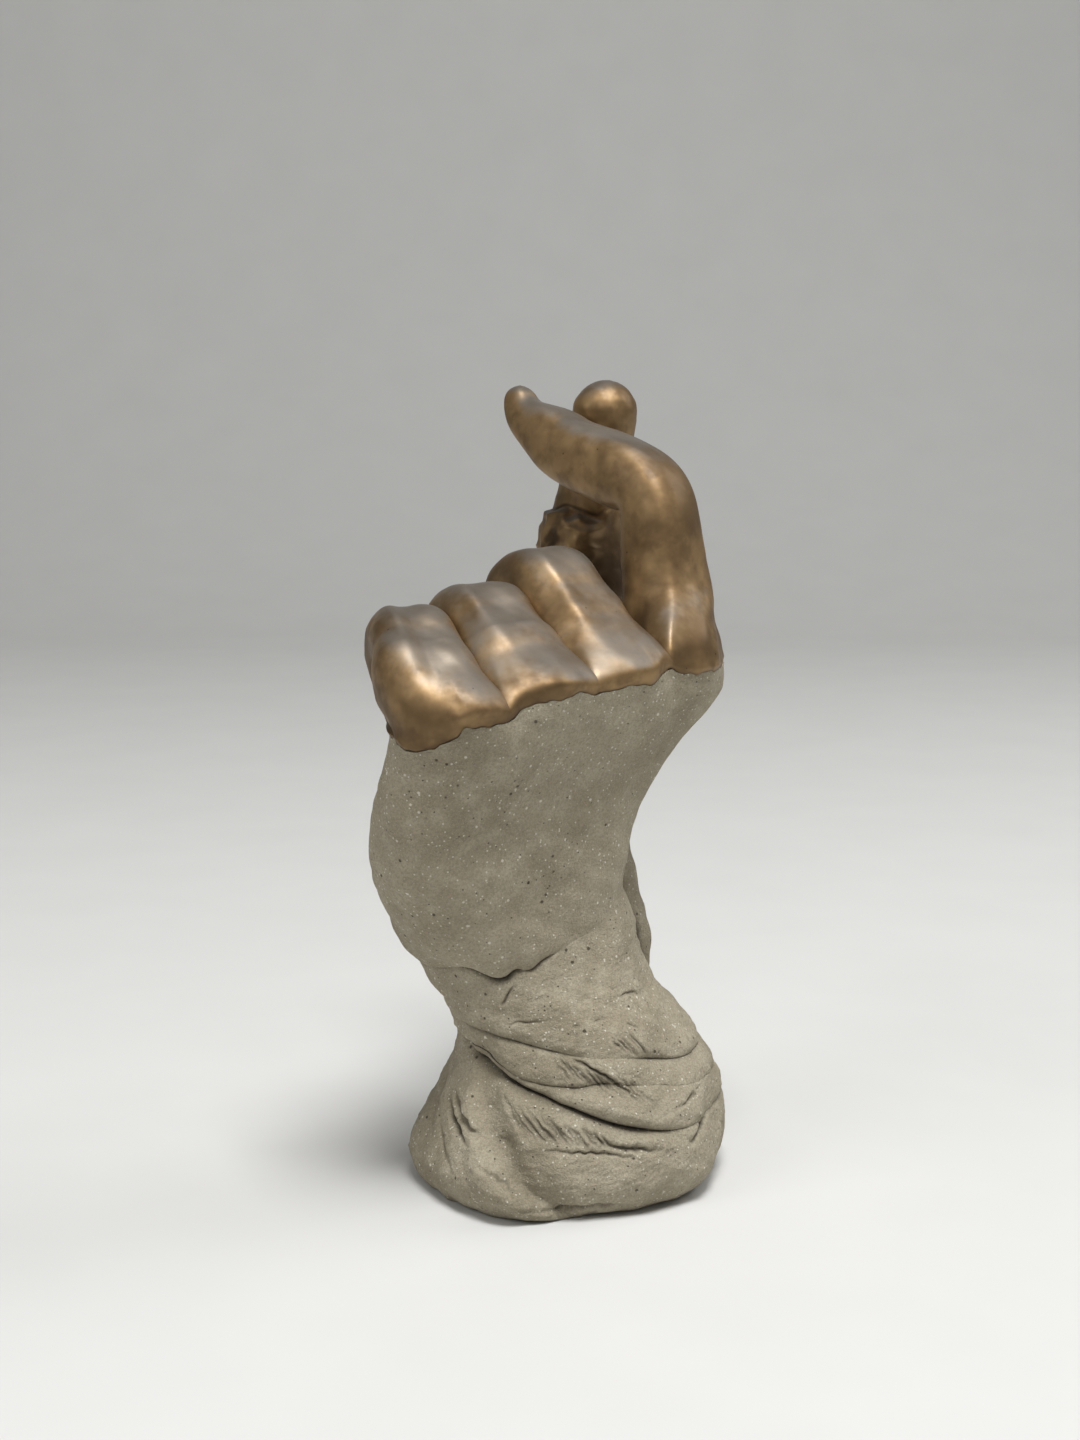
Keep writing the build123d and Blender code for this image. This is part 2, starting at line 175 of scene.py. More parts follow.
cube = np.array([[(0, 0, z), (1, 0, z), (1, 1, z), (0, 1, z)] for z in (0, 1)], float)
print("unit cube holds", round(closed_mesh("trial", cube, np.zeros((2, 4)))[1], 3))
bpy.data.meshes.remove(bpy.data.meshes["trial"])

# %% [markdown]
# ## Finishes: nodes from Python sums
#
# A finish is a tree of shader nodes. Written out link by link it is long and hard to read, so one
# small class wraps a socket and turns +, -, * and so on into Math nodes. Anything else comes from a
# single method that sets a node's options first and then its inputs.

# %% Shader helper
class Wire:
    """A shader socket that can be added to, multiplied and so on."""

    def __init__(self, finish, socket):
        self.finish, self.socket = finish, socket

    def maths(self, operation, first, second):
        return self.finish.node("ShaderNodeMath", {"operation": operation}, {0: first, 1: second})

    def __add__(self, other):
        return self.maths("ADD", self, other)

    def __sub__(self, other):
        return self.maths("SUBTRACT", self, other)

    def __rsub__(self, other):
        return self.maths("SUBTRACT", other, self)

    def __mul__(self, other):
        return self.maths("MULTIPLY", self, other)

    def __gt__(self, other):
        return self.maths("GREATER_THAN", self, other)

    __radd__ = __add__
    __rmul__ = __mul__


print("sums:", [name for name in vars(Wire) if name.startswith("__r")])


# %% Finish
class Finish:
    """A material whose nodes are added by one method."""

    def __init__(self, name):
        self.material = bpy.data.materials.new(name)
        self.material.use_nodes = True
        self.tree = self.material.node_tree
        self.shader = self.tree.nodes["Principled BSDF"]

    def put(self, socket, value):
        """Link a wire to a socket, or set the socket's own value."""
        if isinstance(value, Wire):
            self.tree.links.new(value.socket, socket)
        else:
            socket.default_value = value

    def node(self, kind, options=None, inputs=None, output=0):
        """New node: its options are set first, then the values or links of its inputs."""
        made = self.tree.nodes.new(kind)
        for name, value in (options or {}).items():
            setattr(made, name, value)
        for name, value in (inputs or {}).items():
            self.put(made.inputs[name], value)
        return Wire(self, made.outputs[output])

    def spots(self):
        """Place on the piece, in metres from the frame's origin."""
        return self.node("ShaderNodeTexCoord", output="Object")

    def noise(self, place, size, detail=3.0, rough=0.55):
        """Noise with features of about the given size in millimetres."""
        inputs = {"Vector": place, "Scale": 1 / (size * MM), "Detail": detail, "Roughness": rough}
        return self.node("ShaderNodeTexNoise", {}, inputs)

    def specks(self, place, size, share, luck):
        """Round specks in cells of the given size: a share of the cell wide, where luck allows."""
        cells = {"Vector": place, "Scale": 1 / (size * MM)}
        near = self.node("ShaderNodeTexVoronoi", {}, cells, output="Distance")
        colour = self.node("ShaderNodeTexVoronoi", {}, cells, output="Color")
        chance = self.node("ShaderNodeSeparateColor", {}, {0: colour}, output=1)
        return (1 - self.span(near, share * 0.5, share)) * (chance > luck)

    def span(self, value, low, high):
        """Value mapped from low..high to 0..1, clipped and eased at both ends."""
        ends = {"Value": value, "From Min": low, "From Max": high}
        return self.node("ShaderNodeMapRange", {"interpolation_type": "SMOOTHSTEP"}, ends)

    def blend(self, share, first, second):
        """Colour mix by a share. A Mix node keeps its colours in sockets 6 and 7, and its result in 2."""
        return self.node("ShaderNodeMix", {"data_type": "RGBA"}, {0: share, 6: first, 7: second}, output=2)

    def bump(self, height, distance, strength):
        """Normal tilted by a height, with its full height given in millimetres."""
        inputs = {"Height": height, "Distance": distance * MM, "Strength": strength}
        return self.node("ShaderNodeBump", {}, inputs)

    def set(self, **values):
        """Inputs of the finish's own shader, with _ for a space in their names."""
        for name, value in values.items():
            self.put(self.shader.inputs[name.replace("_", " ")], value)


def tone(red, green, blue):
    """Linear colour from the 0 to 255 numbers of a colour picker."""
    share = np.array([red, green, blue]) / 255
    linear = np.where(share <= 0.04045, share / 12.92, ((share + 0.055) / 1.055) ** 2.4)
    return (*linear.tolist(), 1.0)


print("mid grey is", [round(part, 3) for part in tone(128, 128, 128)])

# %% [markdown]
# ## Bare stoneware
#
# The clay is a warm grey-beige, dry and almost without gloss. Fine grog shows as pale grains, some
# of which glint, and there are small dark pits where grains were dragged out. Large soft clouds
# keep it from looking like plastic. Grooves are painted darker, partly as dust and partly as painted shade.

# %% Clay finish
CLAY_SHADED, CLAY_LIT = tone(143, 134, 114), tone(167, 158, 138)
CLAY_DRY, CLAY_DAMP = tone(179, 171, 151), tone(112, 104, 87)
SAND_TONE, GROG_TONE = tone(196, 189, 170), tone(222, 217, 202)
PIT_TONE, DUST_AND_SHADE_TONE = tone(62, 55, 44), tone(50, 44, 35)
CLOUD_SIZE, PATCH_SIZE, GRAIN_SIZE, SAND_SIZE = 26, 5, 0.55, 0.26
FINE_GROG, COARSE_GROG = (0.75, 0.32, 0.8), (1.9, 0.2, 0.78)
FINE_PITS, COARSE_PITS = (1.0, 0.22, 0.88), (2.6, 0.16, 0.84)
CLAY_ROUGH, GROG_GLINT = 0.93, 0.42
CLAY_GLOSS, CLAY_GRAIN = 0.3, (0.5, 0.8)


def clay_finish():
    """Clay tones laid over one another by noise of falling size, then grog, pits, and dust with painted
    shade in the grooves. The same layers make the height of a bump."""
    clay = Finish("bare_stoneware")
    place = clay.spots()
    clouds = clay.noise(place, CLOUD_SIZE)
    patches = clay.noise(place, PATCH_SIZE, 4)
    grain = clay.noise(place, GRAIN_SIZE, 2, 0.7)
    sand = clay.noise(place, SAND_SIZE, 1, 0.6)
    grog = clay.specks(place, *FINE_GROG) + clay.specks(place, *COARSE_GROG)
    pits = clay.specks(place, *FINE_PITS) + clay.specks(place, *COARSE_PITS)
    groove = clay.node("ShaderNodeAttribute", {"attribute_name": "crevice"}, output="Fac")
    colour = clay.blend(clay.span(clouds, 0.35, 0.68), CLAY_SHADED, CLAY_LIT)
    for share, layer in [
        (clay.span(patches, 0.42, 0.7) * 0.5, CLAY_DRY),
        (clay.span(grain, 0.4, 0.66) * 0.4, CLAY_DAMP),
        (clay.span(sand, 0.5, 0.75) * 0.3, SAND_TONE),
        (grog * 0.7, GROG_TONE),
        (pits * 0.8, PIT_TONE),
        # Dust and painted shade: the crevice attribute darkens grooves, seams and hollows.
        (clay.span(groove, 0.05, 1.0) * 0.85, DUST_AND_SHADE_TONE),
    ]:
        colour = clay.blend(share, colour, layer)
    height = grain * 0.8 + sand * 0.4 + patches * 0.4 + grog * 0.2 - pits * 0.8
    clay.set(Base_Color=colour, Roughness=CLAY_ROUGH - grog * GROG_GLINT, Specular_IOR_Level=CLAY_GLOSS)
    clay.set(Normal=clay.bump(height, *CLAY_GRAIN))
    return clay.material


FINISHES = {"bare_stoneware": clay_finish()}
print("clay has", len(FINISHES["bare_stoneware"].node_tree.nodes), "nodes")

# %% [markdown]
# ## Bronze lustre glaze
#
# The glaze looks like old bronze: golden where it is thick and polished, brown where it is thin,
# nearly black in the grooves, from pooled glaze and painted shade, with a painted bluish grey
# reflection of the overhead lamp on the faces that look up. It is a metal with an even, satin
# gloss and a faintly rippled surface, pricked by tiny pinholes.

# %% Glaze finish
GOLD_THIN, GOLD_THICK, GOLD_BROWN = tone(111, 89, 61), tone(152, 125, 88), tone(92, 71, 49)
OVERHEAD_REFLECTION_TONE, POOL_AND_SHADE_BROWN, PINHOLE_TONE = tone(122, 119, 114), tone(48, 33, 20), tone(44, 32, 22)
POOL_SIZE, FLOW_SIZE, RIPPLE_SIZE, SATIN_SIZE = 15, 5, 2.4, 0.5
PINHOLES = (2.6, 0.1, 0.86)
LUSTRE, SATIN = 0.85, 0.46
GLAZE_RIPPLE = (0.14, 0.4)
COAT, COAT_ROUGH = 0.1, 0.25


def glaze_finish():
    """Golden and brown pools by noise, a painted reflection of the overhead lamp where the surface looks up,
    and pooled glaze with painted shade in the grooves.
    """
    glaze = Finish("bronze_glaze")
    place = glaze.spots()
    pools = glaze.noise(place, POOL_SIZE, 4, 0.6)
    flow = glaze.noise(place, FLOW_SIZE, 4)
    ripple = glaze.noise(place, RIPPLE_SIZE, 2)
    fine = glaze.noise(place, SATIN_SIZE, 2)
    pinhole = glaze.specks(place, *PINHOLES)
    groove = glaze.node("ShaderNodeAttribute", {"attribute_name": "crevice"}, output="Fac")
    facing = glaze.node("ShaderNodeNewGeometry", output="Normal")
    upward = glaze.node("ShaderNodeSeparateXYZ", {}, {0: facing}, output="Z")
    colour = glaze.blend(glaze.span(pools, 0.36, 0.62), GOLD_THIN, GOLD_THICK)
    for share, layer in [
        (glaze.span(flow, 0.46, 0.72) * 0.55, GOLD_BROWN),
        # Painted reflection: faces that look up take a bluish grey, as if they mirrored the lamp overhead.
        (glaze.span(upward + (pools - 0.5) * 1.4, 0.45, 0.95) * 0.75, OVERHEAD_REFLECTION_TONE),
        # Painted shade in the grooves, with glaze pooled there: a dark brown by the crevice attribute.
        (glaze.span(groove, 0.1, 0.9) * 0.85, POOL_AND_SHADE_BROWN),
        (pinhole * 0.7, PINHOLE_TONE),
    ]:
        colour = glaze.blend(share, colour, layer)
    rough = SATIN + glaze.span(flow, 0.35, 0.75) * 0.14 + fine * 0.08
    height = ripple * 0.4 + fine * 0.1 - pinhole * 0.5
    glaze.set(Base_Color=colour, Roughness=rough, Metallic=LUSTRE, Normal=glaze.bump(height, *GLAZE_RIPPLE))
    glaze.set(Coat_Weight=COAT, Coat_Roughness=COAT_ROUGH)
    return glaze.material


FINISHES["bronze_glaze"] = glaze_finish()
print("glaze has", len(FINISHES["bronze_glaze"].node_tree.nodes), "nodes")

# %% [markdown]
# ## One skin for cuff, wrist and hand
#
# Cuff, wrist and hand are separate lumps of clay, but the potter smoothed them into one skin, so
# one function draws them all. At every height the skin is a squarish oval on a plane that tips with
# the hand. The pieces are then bands of that skin, which is why they meet without a step.
#
# The measures are those of the solid model, in millimetres, with the floor at zero. On the cuff they
# are marked level by level. On the hand they follow its height, with a sideways swing in between.

# %% Measures of the skin
YAW = np.radians(36)
CUFF_TOP_Z, SEAT_Z, HAND_HEIGHT = 39.6, 50.45, 49.2
KNUCKLE_Z = SEAT_Z + HAND_HEIGHT
PITCH = 18.3
SEAT_X, SEAT_Y, SEAT_TILT = -9, 0.5, 22
KNUCKLE_X, KNUCKLE_Y, KNUCKLE_TILT = -1.3, -12.5, 5.5
SEAT_BREADTH, SEAT_DEPTH = 21.5, 18.5
KNUCKLE_BREADTH, KNUCKLE_DEPTH = 38, 13
HAND_SWING, HAND_SWELL = -5.8, 1.5
CUFF_LEVEL = [0, 5, 14.9, 22, 28.5, 34, CUFF_TOP_Z]
CUFF_MIDDLE = [-1, 0, 2, 2.7, 1.8, -1, -4.3]
CUFF_BREADTH = [29.5, 32.6, 30.8, 28.4, 25.1, 24.1, 22.4]
CUFF_DEPTH = [27.1, 30, 28.3, 26.1, 23.1, 22.2, 20.2]
CUFF_SQUARE, HAND_SQUARE = 2.0, 2.5
hand = np.array([0, 0.22, 0.45, 0.68, 1, 1.12])
swing = np.sin(np.pi * np.clip(hand, 0, 1))
cuff = np.ones(len(CUFF_LEVEL))
LEVEL = np.r_[CUFF_LEVEL, SEAT_Z + HAND_HEIGHT * hand]
MIDDLE_X = np.r_[CUFF_MIDDLE, SEAT_X + (KNUCKLE_X - SEAT_X) * hand + HAND_SWING * swing]
MIDDLE_Y = np.r_[SEAT_Y * cuff, SEAT_Y + (KNUCKLE_Y - SEAT_Y) * hand]
TILT = np.r_[0 * cuff, SEAT_TILT + (KNUCKLE_TILT - SEAT_TILT) * hand]
BREADTH = np.r_[CUFF_BREADTH, SEAT_BREADTH + (KNUCKLE_BREADTH - SEAT_BREADTH) * hand + HAND_SWELL * swing]
DEPTH = np.r_[CUFF_DEPTH, SEAT_DEPTH + (KNUCKLE_DEPTH - SEAT_DEPTH) * hand]
SQUARE = np.r_[CUFF_SQUARE * cuff, HAND_SQUARE * np.ones(len(hand))]
print("skin reaches from", LEVEL[0], "to", round(LEVEL[-1], 1), "mm")

# %% Plain skin
FOLDS, FOLD_SWELL, FOLD_TWIST, FOLD_END = 5, 0.028, np.radians(150), (34, 44)


def axes(tilt):
    """Unit vectors across the knuckle row, towards the palm and up, for a section tipped by tilt."""
    tilt = np.radians(tilt)
    flat = np.zeros_like(tilt)
    across = np.stack([np.cos(YAW) * np.cos(tilt), np.sin(YAW) * np.cos(tilt), np.sin(tilt)], -1)
    palmward = np.stack([flat - np.sin(YAW), flat + np.cos(YAW), flat], -1)
    return across, palmward, np.cross(across, palmward)


def oval(turn, breadth, depth, square):
    """Point at a turn on the oval |x/a|^p + |y/b|^p = 1, and the direction square to it."""
    c, s = np.cos(turn), np.sin(turn)
    reach = (np.abs(c) ** square + np.abs(s) ** square) ** (-1 / square)
    nx = np.sign(c) * np.abs(reach * c) ** (square - 1) / breadth
    ny = np.sign(s) * np.abs(reach * s) ** (square - 1) / depth
    size = np.hypot(nx, ny)
    return breadth * reach * c, depth * reach * s, nx / size, ny / size


def middle_of(level):
    """Middle of the oval at each level: x and y by curves through the marks."""
    return np.stack([through(LEVEL, MIDDLE_X, level), through(LEVEL, MIDDLE_Y, level), level], -1)


def skin(turn, level):
    """Plain skin: an oval at every level, on a plane that tips with the hand, with five shallow
    folds that turn as they rise up the cuff. Returns points and outward directions."""
    wave = np.cos(FOLDS * turn + FOLD_TWIST * level / CUFF_TOP_Z)
    fold = FOLD_SWELL * (1 - ramp(level, *FOLD_END)) * wave
    breadth = through(LEVEL, BREADTH, level) * (1 + fold)
    depth = through(LEVEL, DEPTH, level) * (1 + fold)
    x, y, nx, ny = oval(turn, breadth, depth, np.interp(level, LEVEL, SQUARE))
    across, palmward, _ = axes(np.interp(level, LEVEL, TILT))
    points = middle_of(level) + x[..., None] * across + y[..., None] * palmward
    return points, nx[..., None] * across + ny[..., None] * palmward


edge = skin(np.radians([0.0, 180.0]), np.full(2, KNUCKLE_Z))[0]
print("knuckle row is", round(float(np.linalg.norm(edge[0] - edge[1])), 1), "mm wide")

# %% Core of the wrist
CORE_LEVEL = [0, 14.9, CUFF_TOP_Z, SEAT_Z]
CORE_BREADTH, CORE_DEPTH = [18.5, 18.5, 20, SEAT_BREADTH], [17, 17, 17.75, SEAT_DEPTH]
CORE_MIDDLE = [0, 0, -4.3, SEAT_X]


def core(turn, level, share=1.0):
    """Hidden core of the wrist inside the cuff: a squarish oval that widens towards the hand. A share
    below 1 draws it smaller."""
    breadth = through(CORE_LEVEL, CORE_BREADTH, level)
    depth = through(CORE_LEVEL, CORE_DEPTH, level)
    x, y, _, _ = oval(turn, share * breadth, share * depth, HAND_SQUARE)
    across, palmward, _ = axes(np.zeros_like(level))
    middle = np.stack([through(CORE_LEVEL, CORE_MIDDLE, level), np.full_like(level, SEAT_Y), level], -1)
    return middle + x[..., None] * across + y[..., None] * palmward


print("core is", 2 * CORE_BREADTH[0], "mm wide at the floor")

# %% Columns
FRONT = np.radians(-126)


def columns(count, crowding=0.5):
    """Turns round the skin, crowded on the side that the viewer faces."""
    q = np.arange(count) / count - 0.5
    return FRONT + 2 * np.pi * q - crowding * np.sin(2 * np.pi * q)


spacing = np.degrees(np.diff(columns(360))).round(1)
print("columns lie", spacing[180], "degrees apart in front and", spacing[0], "behind")

# %% [markdown]
# ## Creases drawn on the unrolled clay
#
# Creases, cracks and folds are drawn the way a potter would sketch them on paper: unroll the cuff,
# so that the angle about the upright axis runs sideways and height runs upwards, and draw each line
# through a few marks. The depth of a crease falls off with the distance from its line.

# %% Crease helpers
UNROLL_RADIUS = 28
UNROLL = np.radians(1) * UNROLL_RADIUS


def unrolled(points):
    """Distance round the cuff and height, in millimetres."""
    return np.stack([np.degrees(np.arctan2(points[..., 1], points[..., 0])) * UNROLL, points[..., 2]], -1)


DRAPE_FADE, FOLD_PROUD = 0.7, 0.35


def drape(spots, line, depth, steep, gentle):
    """Valley beside a fold of cloth: depth * exp(-(d / w)^2), where w is small on the fold's side,
    below the line, and large on the other. The fold itself stands proud by a third."""
    marks = np.array(line, float) * (UNROLL, 1)
    height = through(marks[:, 0], marks[:, 1], spots[:, 0])
    slope = np.gradient(marks[:, 1], marks[:, 0])
    lean = np.interp(spots[:, 0], marks[:, 0], slope)
    d = (spots[:, 1] - height) / np.sqrt(1 + lean**2)
    share = np.interp(spots[:, 0], [marks[0, 0], marks[-1, 0]], [0, 1])
    fade = np.sin(np.pi * np.clip(share, 0, 1)) ** DRAPE_FADE
    fold = FOLD_PROUD * hill(d, -2.2 * steep, 1.6 * steep)
    return depth * fade * (fold - np.where(d < 0, hill(d, 0, steep), hill(d, 0, gentle)))


PATH_POINTS, CREASE_FADE, CREASE_ENDS = 50, 0.6, (0.02, 0.98)


def crease(spots, line, width, depth, lip):
    """Groove of depth * exp(-(d / width)^2), where d is the distance from the line, fading out at
    both ends. A lip raises the clay just above it by lip * (d / w) * exp(1 - d / w), w = 3 widths.
    Only spots within reach of the line are worked out."""
    marks = np.array(line, float) * (UNROLL, 1)
    along = np.r_[0, np.cumsum(np.hypot(*np.diff(marks, axis=0).T))]
    stops = np.linspace(0, along[-1], PATH_POINTS)
    path = np.stack([through(along, marks[:, 0], stops), through(along, marks[:, 1], stops)], -1)
    relief = np.zeros(len(spots))
    reach = 4 * width + 8 * lip
    near = np.flatnonzero(((spots > path.min(0) - reach) & (spots < path.max(0) + reach)).all(1))
    if len(near):
        offset = spots[near, None] - path
        distance = np.hypot(offset[..., 0], offset[..., 1])
        nearest = distance.argmin(1)
        d = distance.min(1)
        above = offset[np.arange(len(near)), nearest, 1] > 0
        fade = np.sin(np.pi * np.clip(stops[nearest] / along[-1], *CREASE_ENDS)) ** CREASE_FADE
        rise = lip * above * d / (3 * width) * np.exp(1 - d / (3 * width))
        relief[near] = fade * (rise - depth * np.exp(-((d / width) ** 2)))
    return relief


print("a degree round the cuff is", round(UNROLL, 2), "mm")

# %% Drawn creases
# Each crease has its marks as degrees and millimetres, then its width, depth and lip.
CREASES = [
    ([(-89, 31.0), (-81, 29.2), (-74, 27.8), (-68, 25.8), (-64, 24.0)], 0.32, 0.9, 0.1),
    ([(-121, 36.9), (-112, 37.5), (-104, 37.8)], 0.26, 0.45, 0),
    ([(-89, 36.4), (-84, 36.9)], 0.26, 0.4, 0),
    ([(-78, 37.2), (-67, 37.5)], 0.22, 0.25, 0),
    ([(-57, 36.4), (-48, 34.9)], 0.26, 0.4, 0),
    ([(-56, 40.6), (-42, 40.4), (-28, 39.5)], 0.32, 0.6, 0),
    ([(-117, 44.5), (-120, 43.4), (-122, 42.3), (-124, 40.4)], 0.34, 0.8, 0),
    ([(-78, 15.6), (-71, 14.5), (-62, 13.8), (-54, 13.0)], 0.6, 1.1, 0.4),
    ([(-102, 14.6), (-90, 14.2), (-80, 13.8), (-69, 12.8), (-63, 12.1)], 0.36, 0.6, 0.3),
    ([(-152, 21.0), (-145, 19.2), (-137, 17.5), (-125, 15.3)], 0.9, 1.7, 0.6),
    ([(-157, 18.6), (-144, 16.0), (-131, 13.9)], 0.65, 1.7, 0.3),
    ([(-124, 11.2), (-117, 9.8), (-112, 7.8), (-108, 6.2)], 0.3, 0.5, 0),
    ([(-112, 3.4), (-95, 2.6), (-84, 3.1), (-73, 3.0), (-64, 2.2)], 0.5, 0.7, 0.2),
    ([(-20, 15.2), (-31, 14.1), (-40, 12.5)], 0.5, 1.0, 0.3),
    ([(-23, 21.6), (-35, 20.7), (-45, 19.8)], 0.4, 0.5, 0.2),
    ([(-160, 15.5), (-151, 12.4), (-143, 10.0), (-135, 7.6)], 1.0, 0.7, 0.3),
    ([(-172, 24.0), (-168, 16.0), (-160, 9.0)], 2.0, 1.0, 0),
    ([(168, 27.0), (145, 21.0), (120, 14.5), (98, 8.0)], 1.6, 1.4, 0.6),
    ([(130, 12.0), (105, 8.5), (84, 7.0)], 0.6, 0.8, 0.2),
    ([(70, 16.5), (44, 13.0), (16, 12.2)], 0.7, 0.9, 0.3),
    ([(26, 24.5), (50, 28.0), (76, 32.5)], 0.5, 0.8, 0.3),
    ([(60, 8.6), (36, 5.2), (10, 4.4)], 1.2, 0.7, 0.3),
]
DRAPE = [(-142, 27.3), (-134, 23.2), (-127, 18.7), (-121, 14.8),
         (-115, 11.7), (-106, 6.9), (-95, 3.3), (-86, 1.2)]
DRAPE_DEPTH, DRAPE_STEEP, DRAPE_GENTLE = 3.6, 1.5, 4.6
print(len(CREASES), "creases by hand")

# %% [markdown]
# ## Strokes of a ribbed tool
#
# A ribbed tool was dragged over the cuff in a few places. Its strokes are thin creases too, laid in
# slanted rows. Drawing each by hand would be tedious, so a row has only its count, its first stroke
# and its last, and a seeded draw keeps the strokes from looking too even.

# %% Comb strokes
COMB_WIDTH, COMB_DEPTH, COMB_LIP = 0.36, 0.62, 0.12
COMB_JITTER, COMB_TRIM, COMB_PRESSURE = 0.25, 0.12, (0.5, 1.1)
COMBS = [
    (17, [(-123, 24.2), (-104, 14.9)], [(-78, 17.5), (-73, 14.2)]),
    (12, [(-99, 31.2), (-89, 27.0)], [(-65, 27.2), (-52, 21.0)]),
    (5, [(-69, 34.6), (-61, 31.0)], [(-58, 35.4), (-49, 30.2)]),
    (11, [(48, 23.5), (58, 18.5)], [(92, 25.5), (104, 20.5)]),
]


def comb_strokes():
    """Slanted strokes of a ribbed tool: in each row, start and end shift evenly from the first stroke
    to the last, and a seeded draw makes every stroke a little different."""
    rng = np.random.default_rng(20)
    for count, first, last in COMBS:
        for share in np.linspace(0, 1, count):
            line = np.array(first) * (1 - share) + np.array(last) * share
            line = line + rng.normal(0, COMB_JITTER, line.shape)
            start, stop = rng.uniform(0, COMB_TRIM, 2) + (0, 1 - COMB_TRIM)
            marks = line[0] + (line[1] - line[0]) * np.array([[start], [(start + stop) / 2], [stop]])
            yield marks, COMB_WIDTH, COMB_DEPTH * rng.uniform(*COMB_PRESSURE), COMB_LIP


CREASES += comb_strokes()
print(len(CREASES), "creases with the strokes")

# %% [markdown]
# ## Relief of the clay
#
# The skin is pushed in or out along its own direction. On the cuff that is the sum of the drape, all
# creases and some unevenness. On the hand it is softer: low ridges that run up to the knuckles, a
# swell at the edge below the index finger, and a hollow in the palm.

# %% Cuff relief
CREASE_WANDER, DRAPE_SHADE = 0.13, 0.3


def cuff_relief(points):
    """Sum of creases, drape and small lumps, and the painted shade in the drape's valley and in the creases,
    darkest in the narrow ones.
    """
    spots = unrolled(points)
    ragged = spots + CREASE_WANDER * np.stack([lumps(points, 3.1, 23), lumps(points, 2.3, 24)], -1)
    relief = 0.22 * lumps(points, 15, 5) + 0.12 * lumps(points, 4.5, 6) + 0.04 * lumps(points, 1.6, 9)
    valley = drape(spots, DRAPE, DRAPE_DEPTH, DRAPE_STEEP, DRAPE_GENTLE)
    relief += valley
    dark = DRAPE_SHADE * ramp(-valley / DRAPE_DEPTH, 0.15, 0.9)
    for line, width, depth, lip in CREASES:
        groove = crease(ragged, line, width, depth, lip)
        relief += groove
        # Painted shade in each crease, by its depth, stronger where the crease is narrow.
        dark = np.maximum(dark, -groove * (0.3 + ramp(-width, -0.9, -0.2)))
    return relief, np.clip(dark, 0, 0.9)


trial = skin(np.radians(np.arange(-180.0, 180.0, 2)), np.full(180, 20.0))[0]
print("cuff relief at 20 mm spans", round(float(np.ptp(cuff_relief(trial)[0])), 1), "mm")

# %% Hand relief
KNUCKLE = np.array([KNUCKLE_X, KNUCKLE_Y, KNUCKLE_Z])
KNUCKLE_AXES = np.array(axes(np.array(KNUCKLE_TILT)))
KNUCKLE_RISE, KNUCKLE_RUN = 0.5, 13
OUTER_RIDGE = [60, 85, 100, 106], [-0.9, -0.97, -1.19, -1.25]
INNER_RIDGE = [60, 71, 87, 106], [0.7, 0.93, 0.91, 0.7]
BACK_HOLLOW, PALM_HOLLOW, EDGE_BULGE = 0.7, 2.4, 3.8
HAND_OVER = (43, 55)


def hand_relief(points, turn, level):
    """Ridges towards the knuckles as a cosine of the place along the row, two drawn ridges, the hollows
    of back and palm, the swell of the hand's edge and lumps."""
    place = (points - KNUCKLE) @ KNUCKLE_AXES[0] / PITCH
    back = ramp(-np.sin(turn), 0.1, 0.7)
    palm = ramp(np.sin(turn), 0.2, 0.9)
    rise = np.exp((level - KNUCKLE_Z) / KNUCKLE_RUN)
    relief = -KNUCKLE_RISE * back * rise * np.cos(2 * np.pi * place)
    relief += back * 0.5 * hill(place, through(*OUTER_RIDGE, level), 0.14) * ramp(level, 78, 94)
    relief += back * 0.7 * hill(place, through(*INNER_RIDGE, level), 0.2) * ramp(level, 62, 76)
    relief -= back * BACK_HOLLOW * hill(place, -0.55, 0.5) * hill(level, 80, 16)
    relief -= palm * PALM_HOLLOW * hill(place, 0, 1.0) * hill(level, 80, 15)
    relief += EDGE_BULGE * ramp(np.cos(turn), 0.3, 0.95) * hill(level, 87, 12) * ramp(-level, -103, -96)
    return relief + 0.3 * lumps(points, 17, 7) + 0.09 * lumps(points, 5, 8)


def worked(turn, level):
    """Skin with its relief and the painted shade of its creases. The cuff's relief hands over to the hand's
    at the wrist."""
    points, out = skin(turn, level)
    flat, out = points.reshape(-1, 3), out.reshape(-1, 3)
    turns, levels = np.broadcast_to(turn, points.shape[:2]).ravel(), level.ravel()
    share = ramp(levels, *HAND_OVER)
    relief, dark = np.zeros((2, len(flat)))
    low, high = share < 1, share > 0
    groove, shade = cuff_relief(flat[low])
    relief[low] += (1 - share[low]) * groove
    dark[low] += (1 - share[low]) * shade
    relief[high] += share[high] * hand_relief(flat[high], turns[high], levels[high])
    grid = points.shape[:2]
    return points, out.reshape(points.shape), relief.reshape(grid), dark.reshape(grid)


print("knuckle row is centred on", KNUCKLE.round(1))

# %% [markdown]
# ## The twisted cuff
#
# The cuff is a flared foot and three wraps laid round it, each tucked over the one below. Their
# seams are closed curves round the cuff, higher on the left, drawn through a few marks. Just above
# a seam the clay rolls outwards, and at the seam it dives inwards, which makes the deep dark lines,
# deepened by painted shade along each seam.

# %% Seams
# Marks are degrees with millimetres for the height of a seam, and with a share for its force.
SEAMS = {
    "lower": [(-180, 31.5), (-150, 30.2), (-137, 27.9), (-121, 25.8), (-101, 23.2), (-86, 20.8), (-72, 18.5),
              (-54, 16.5), (-25, 15.6), (15, 16.5), (60, 20.5), (105, 26.5), (145, 30.5)],
    "middle": [(-180, 33.0), (-137, 30.4), (-121, 27.6), (-108, 26.0), (-90, 25.2), (-71, 25.8), (-58, 25.2),
               (-25, 22.6), (15, 21.5), (60, 24.5), (105, 29.5), (145, 32.4)],
    "upper": [(-180, 36.2), (-145, 35.2), (-121, 33.8), (-97, 31.8), (-80, 30.9), (-57, 30.0), (-41, 28.5),
              (-25, 27.1), (15, 27.6), (60, 30.4), (105, 33.8), (145, 35.8)],
}
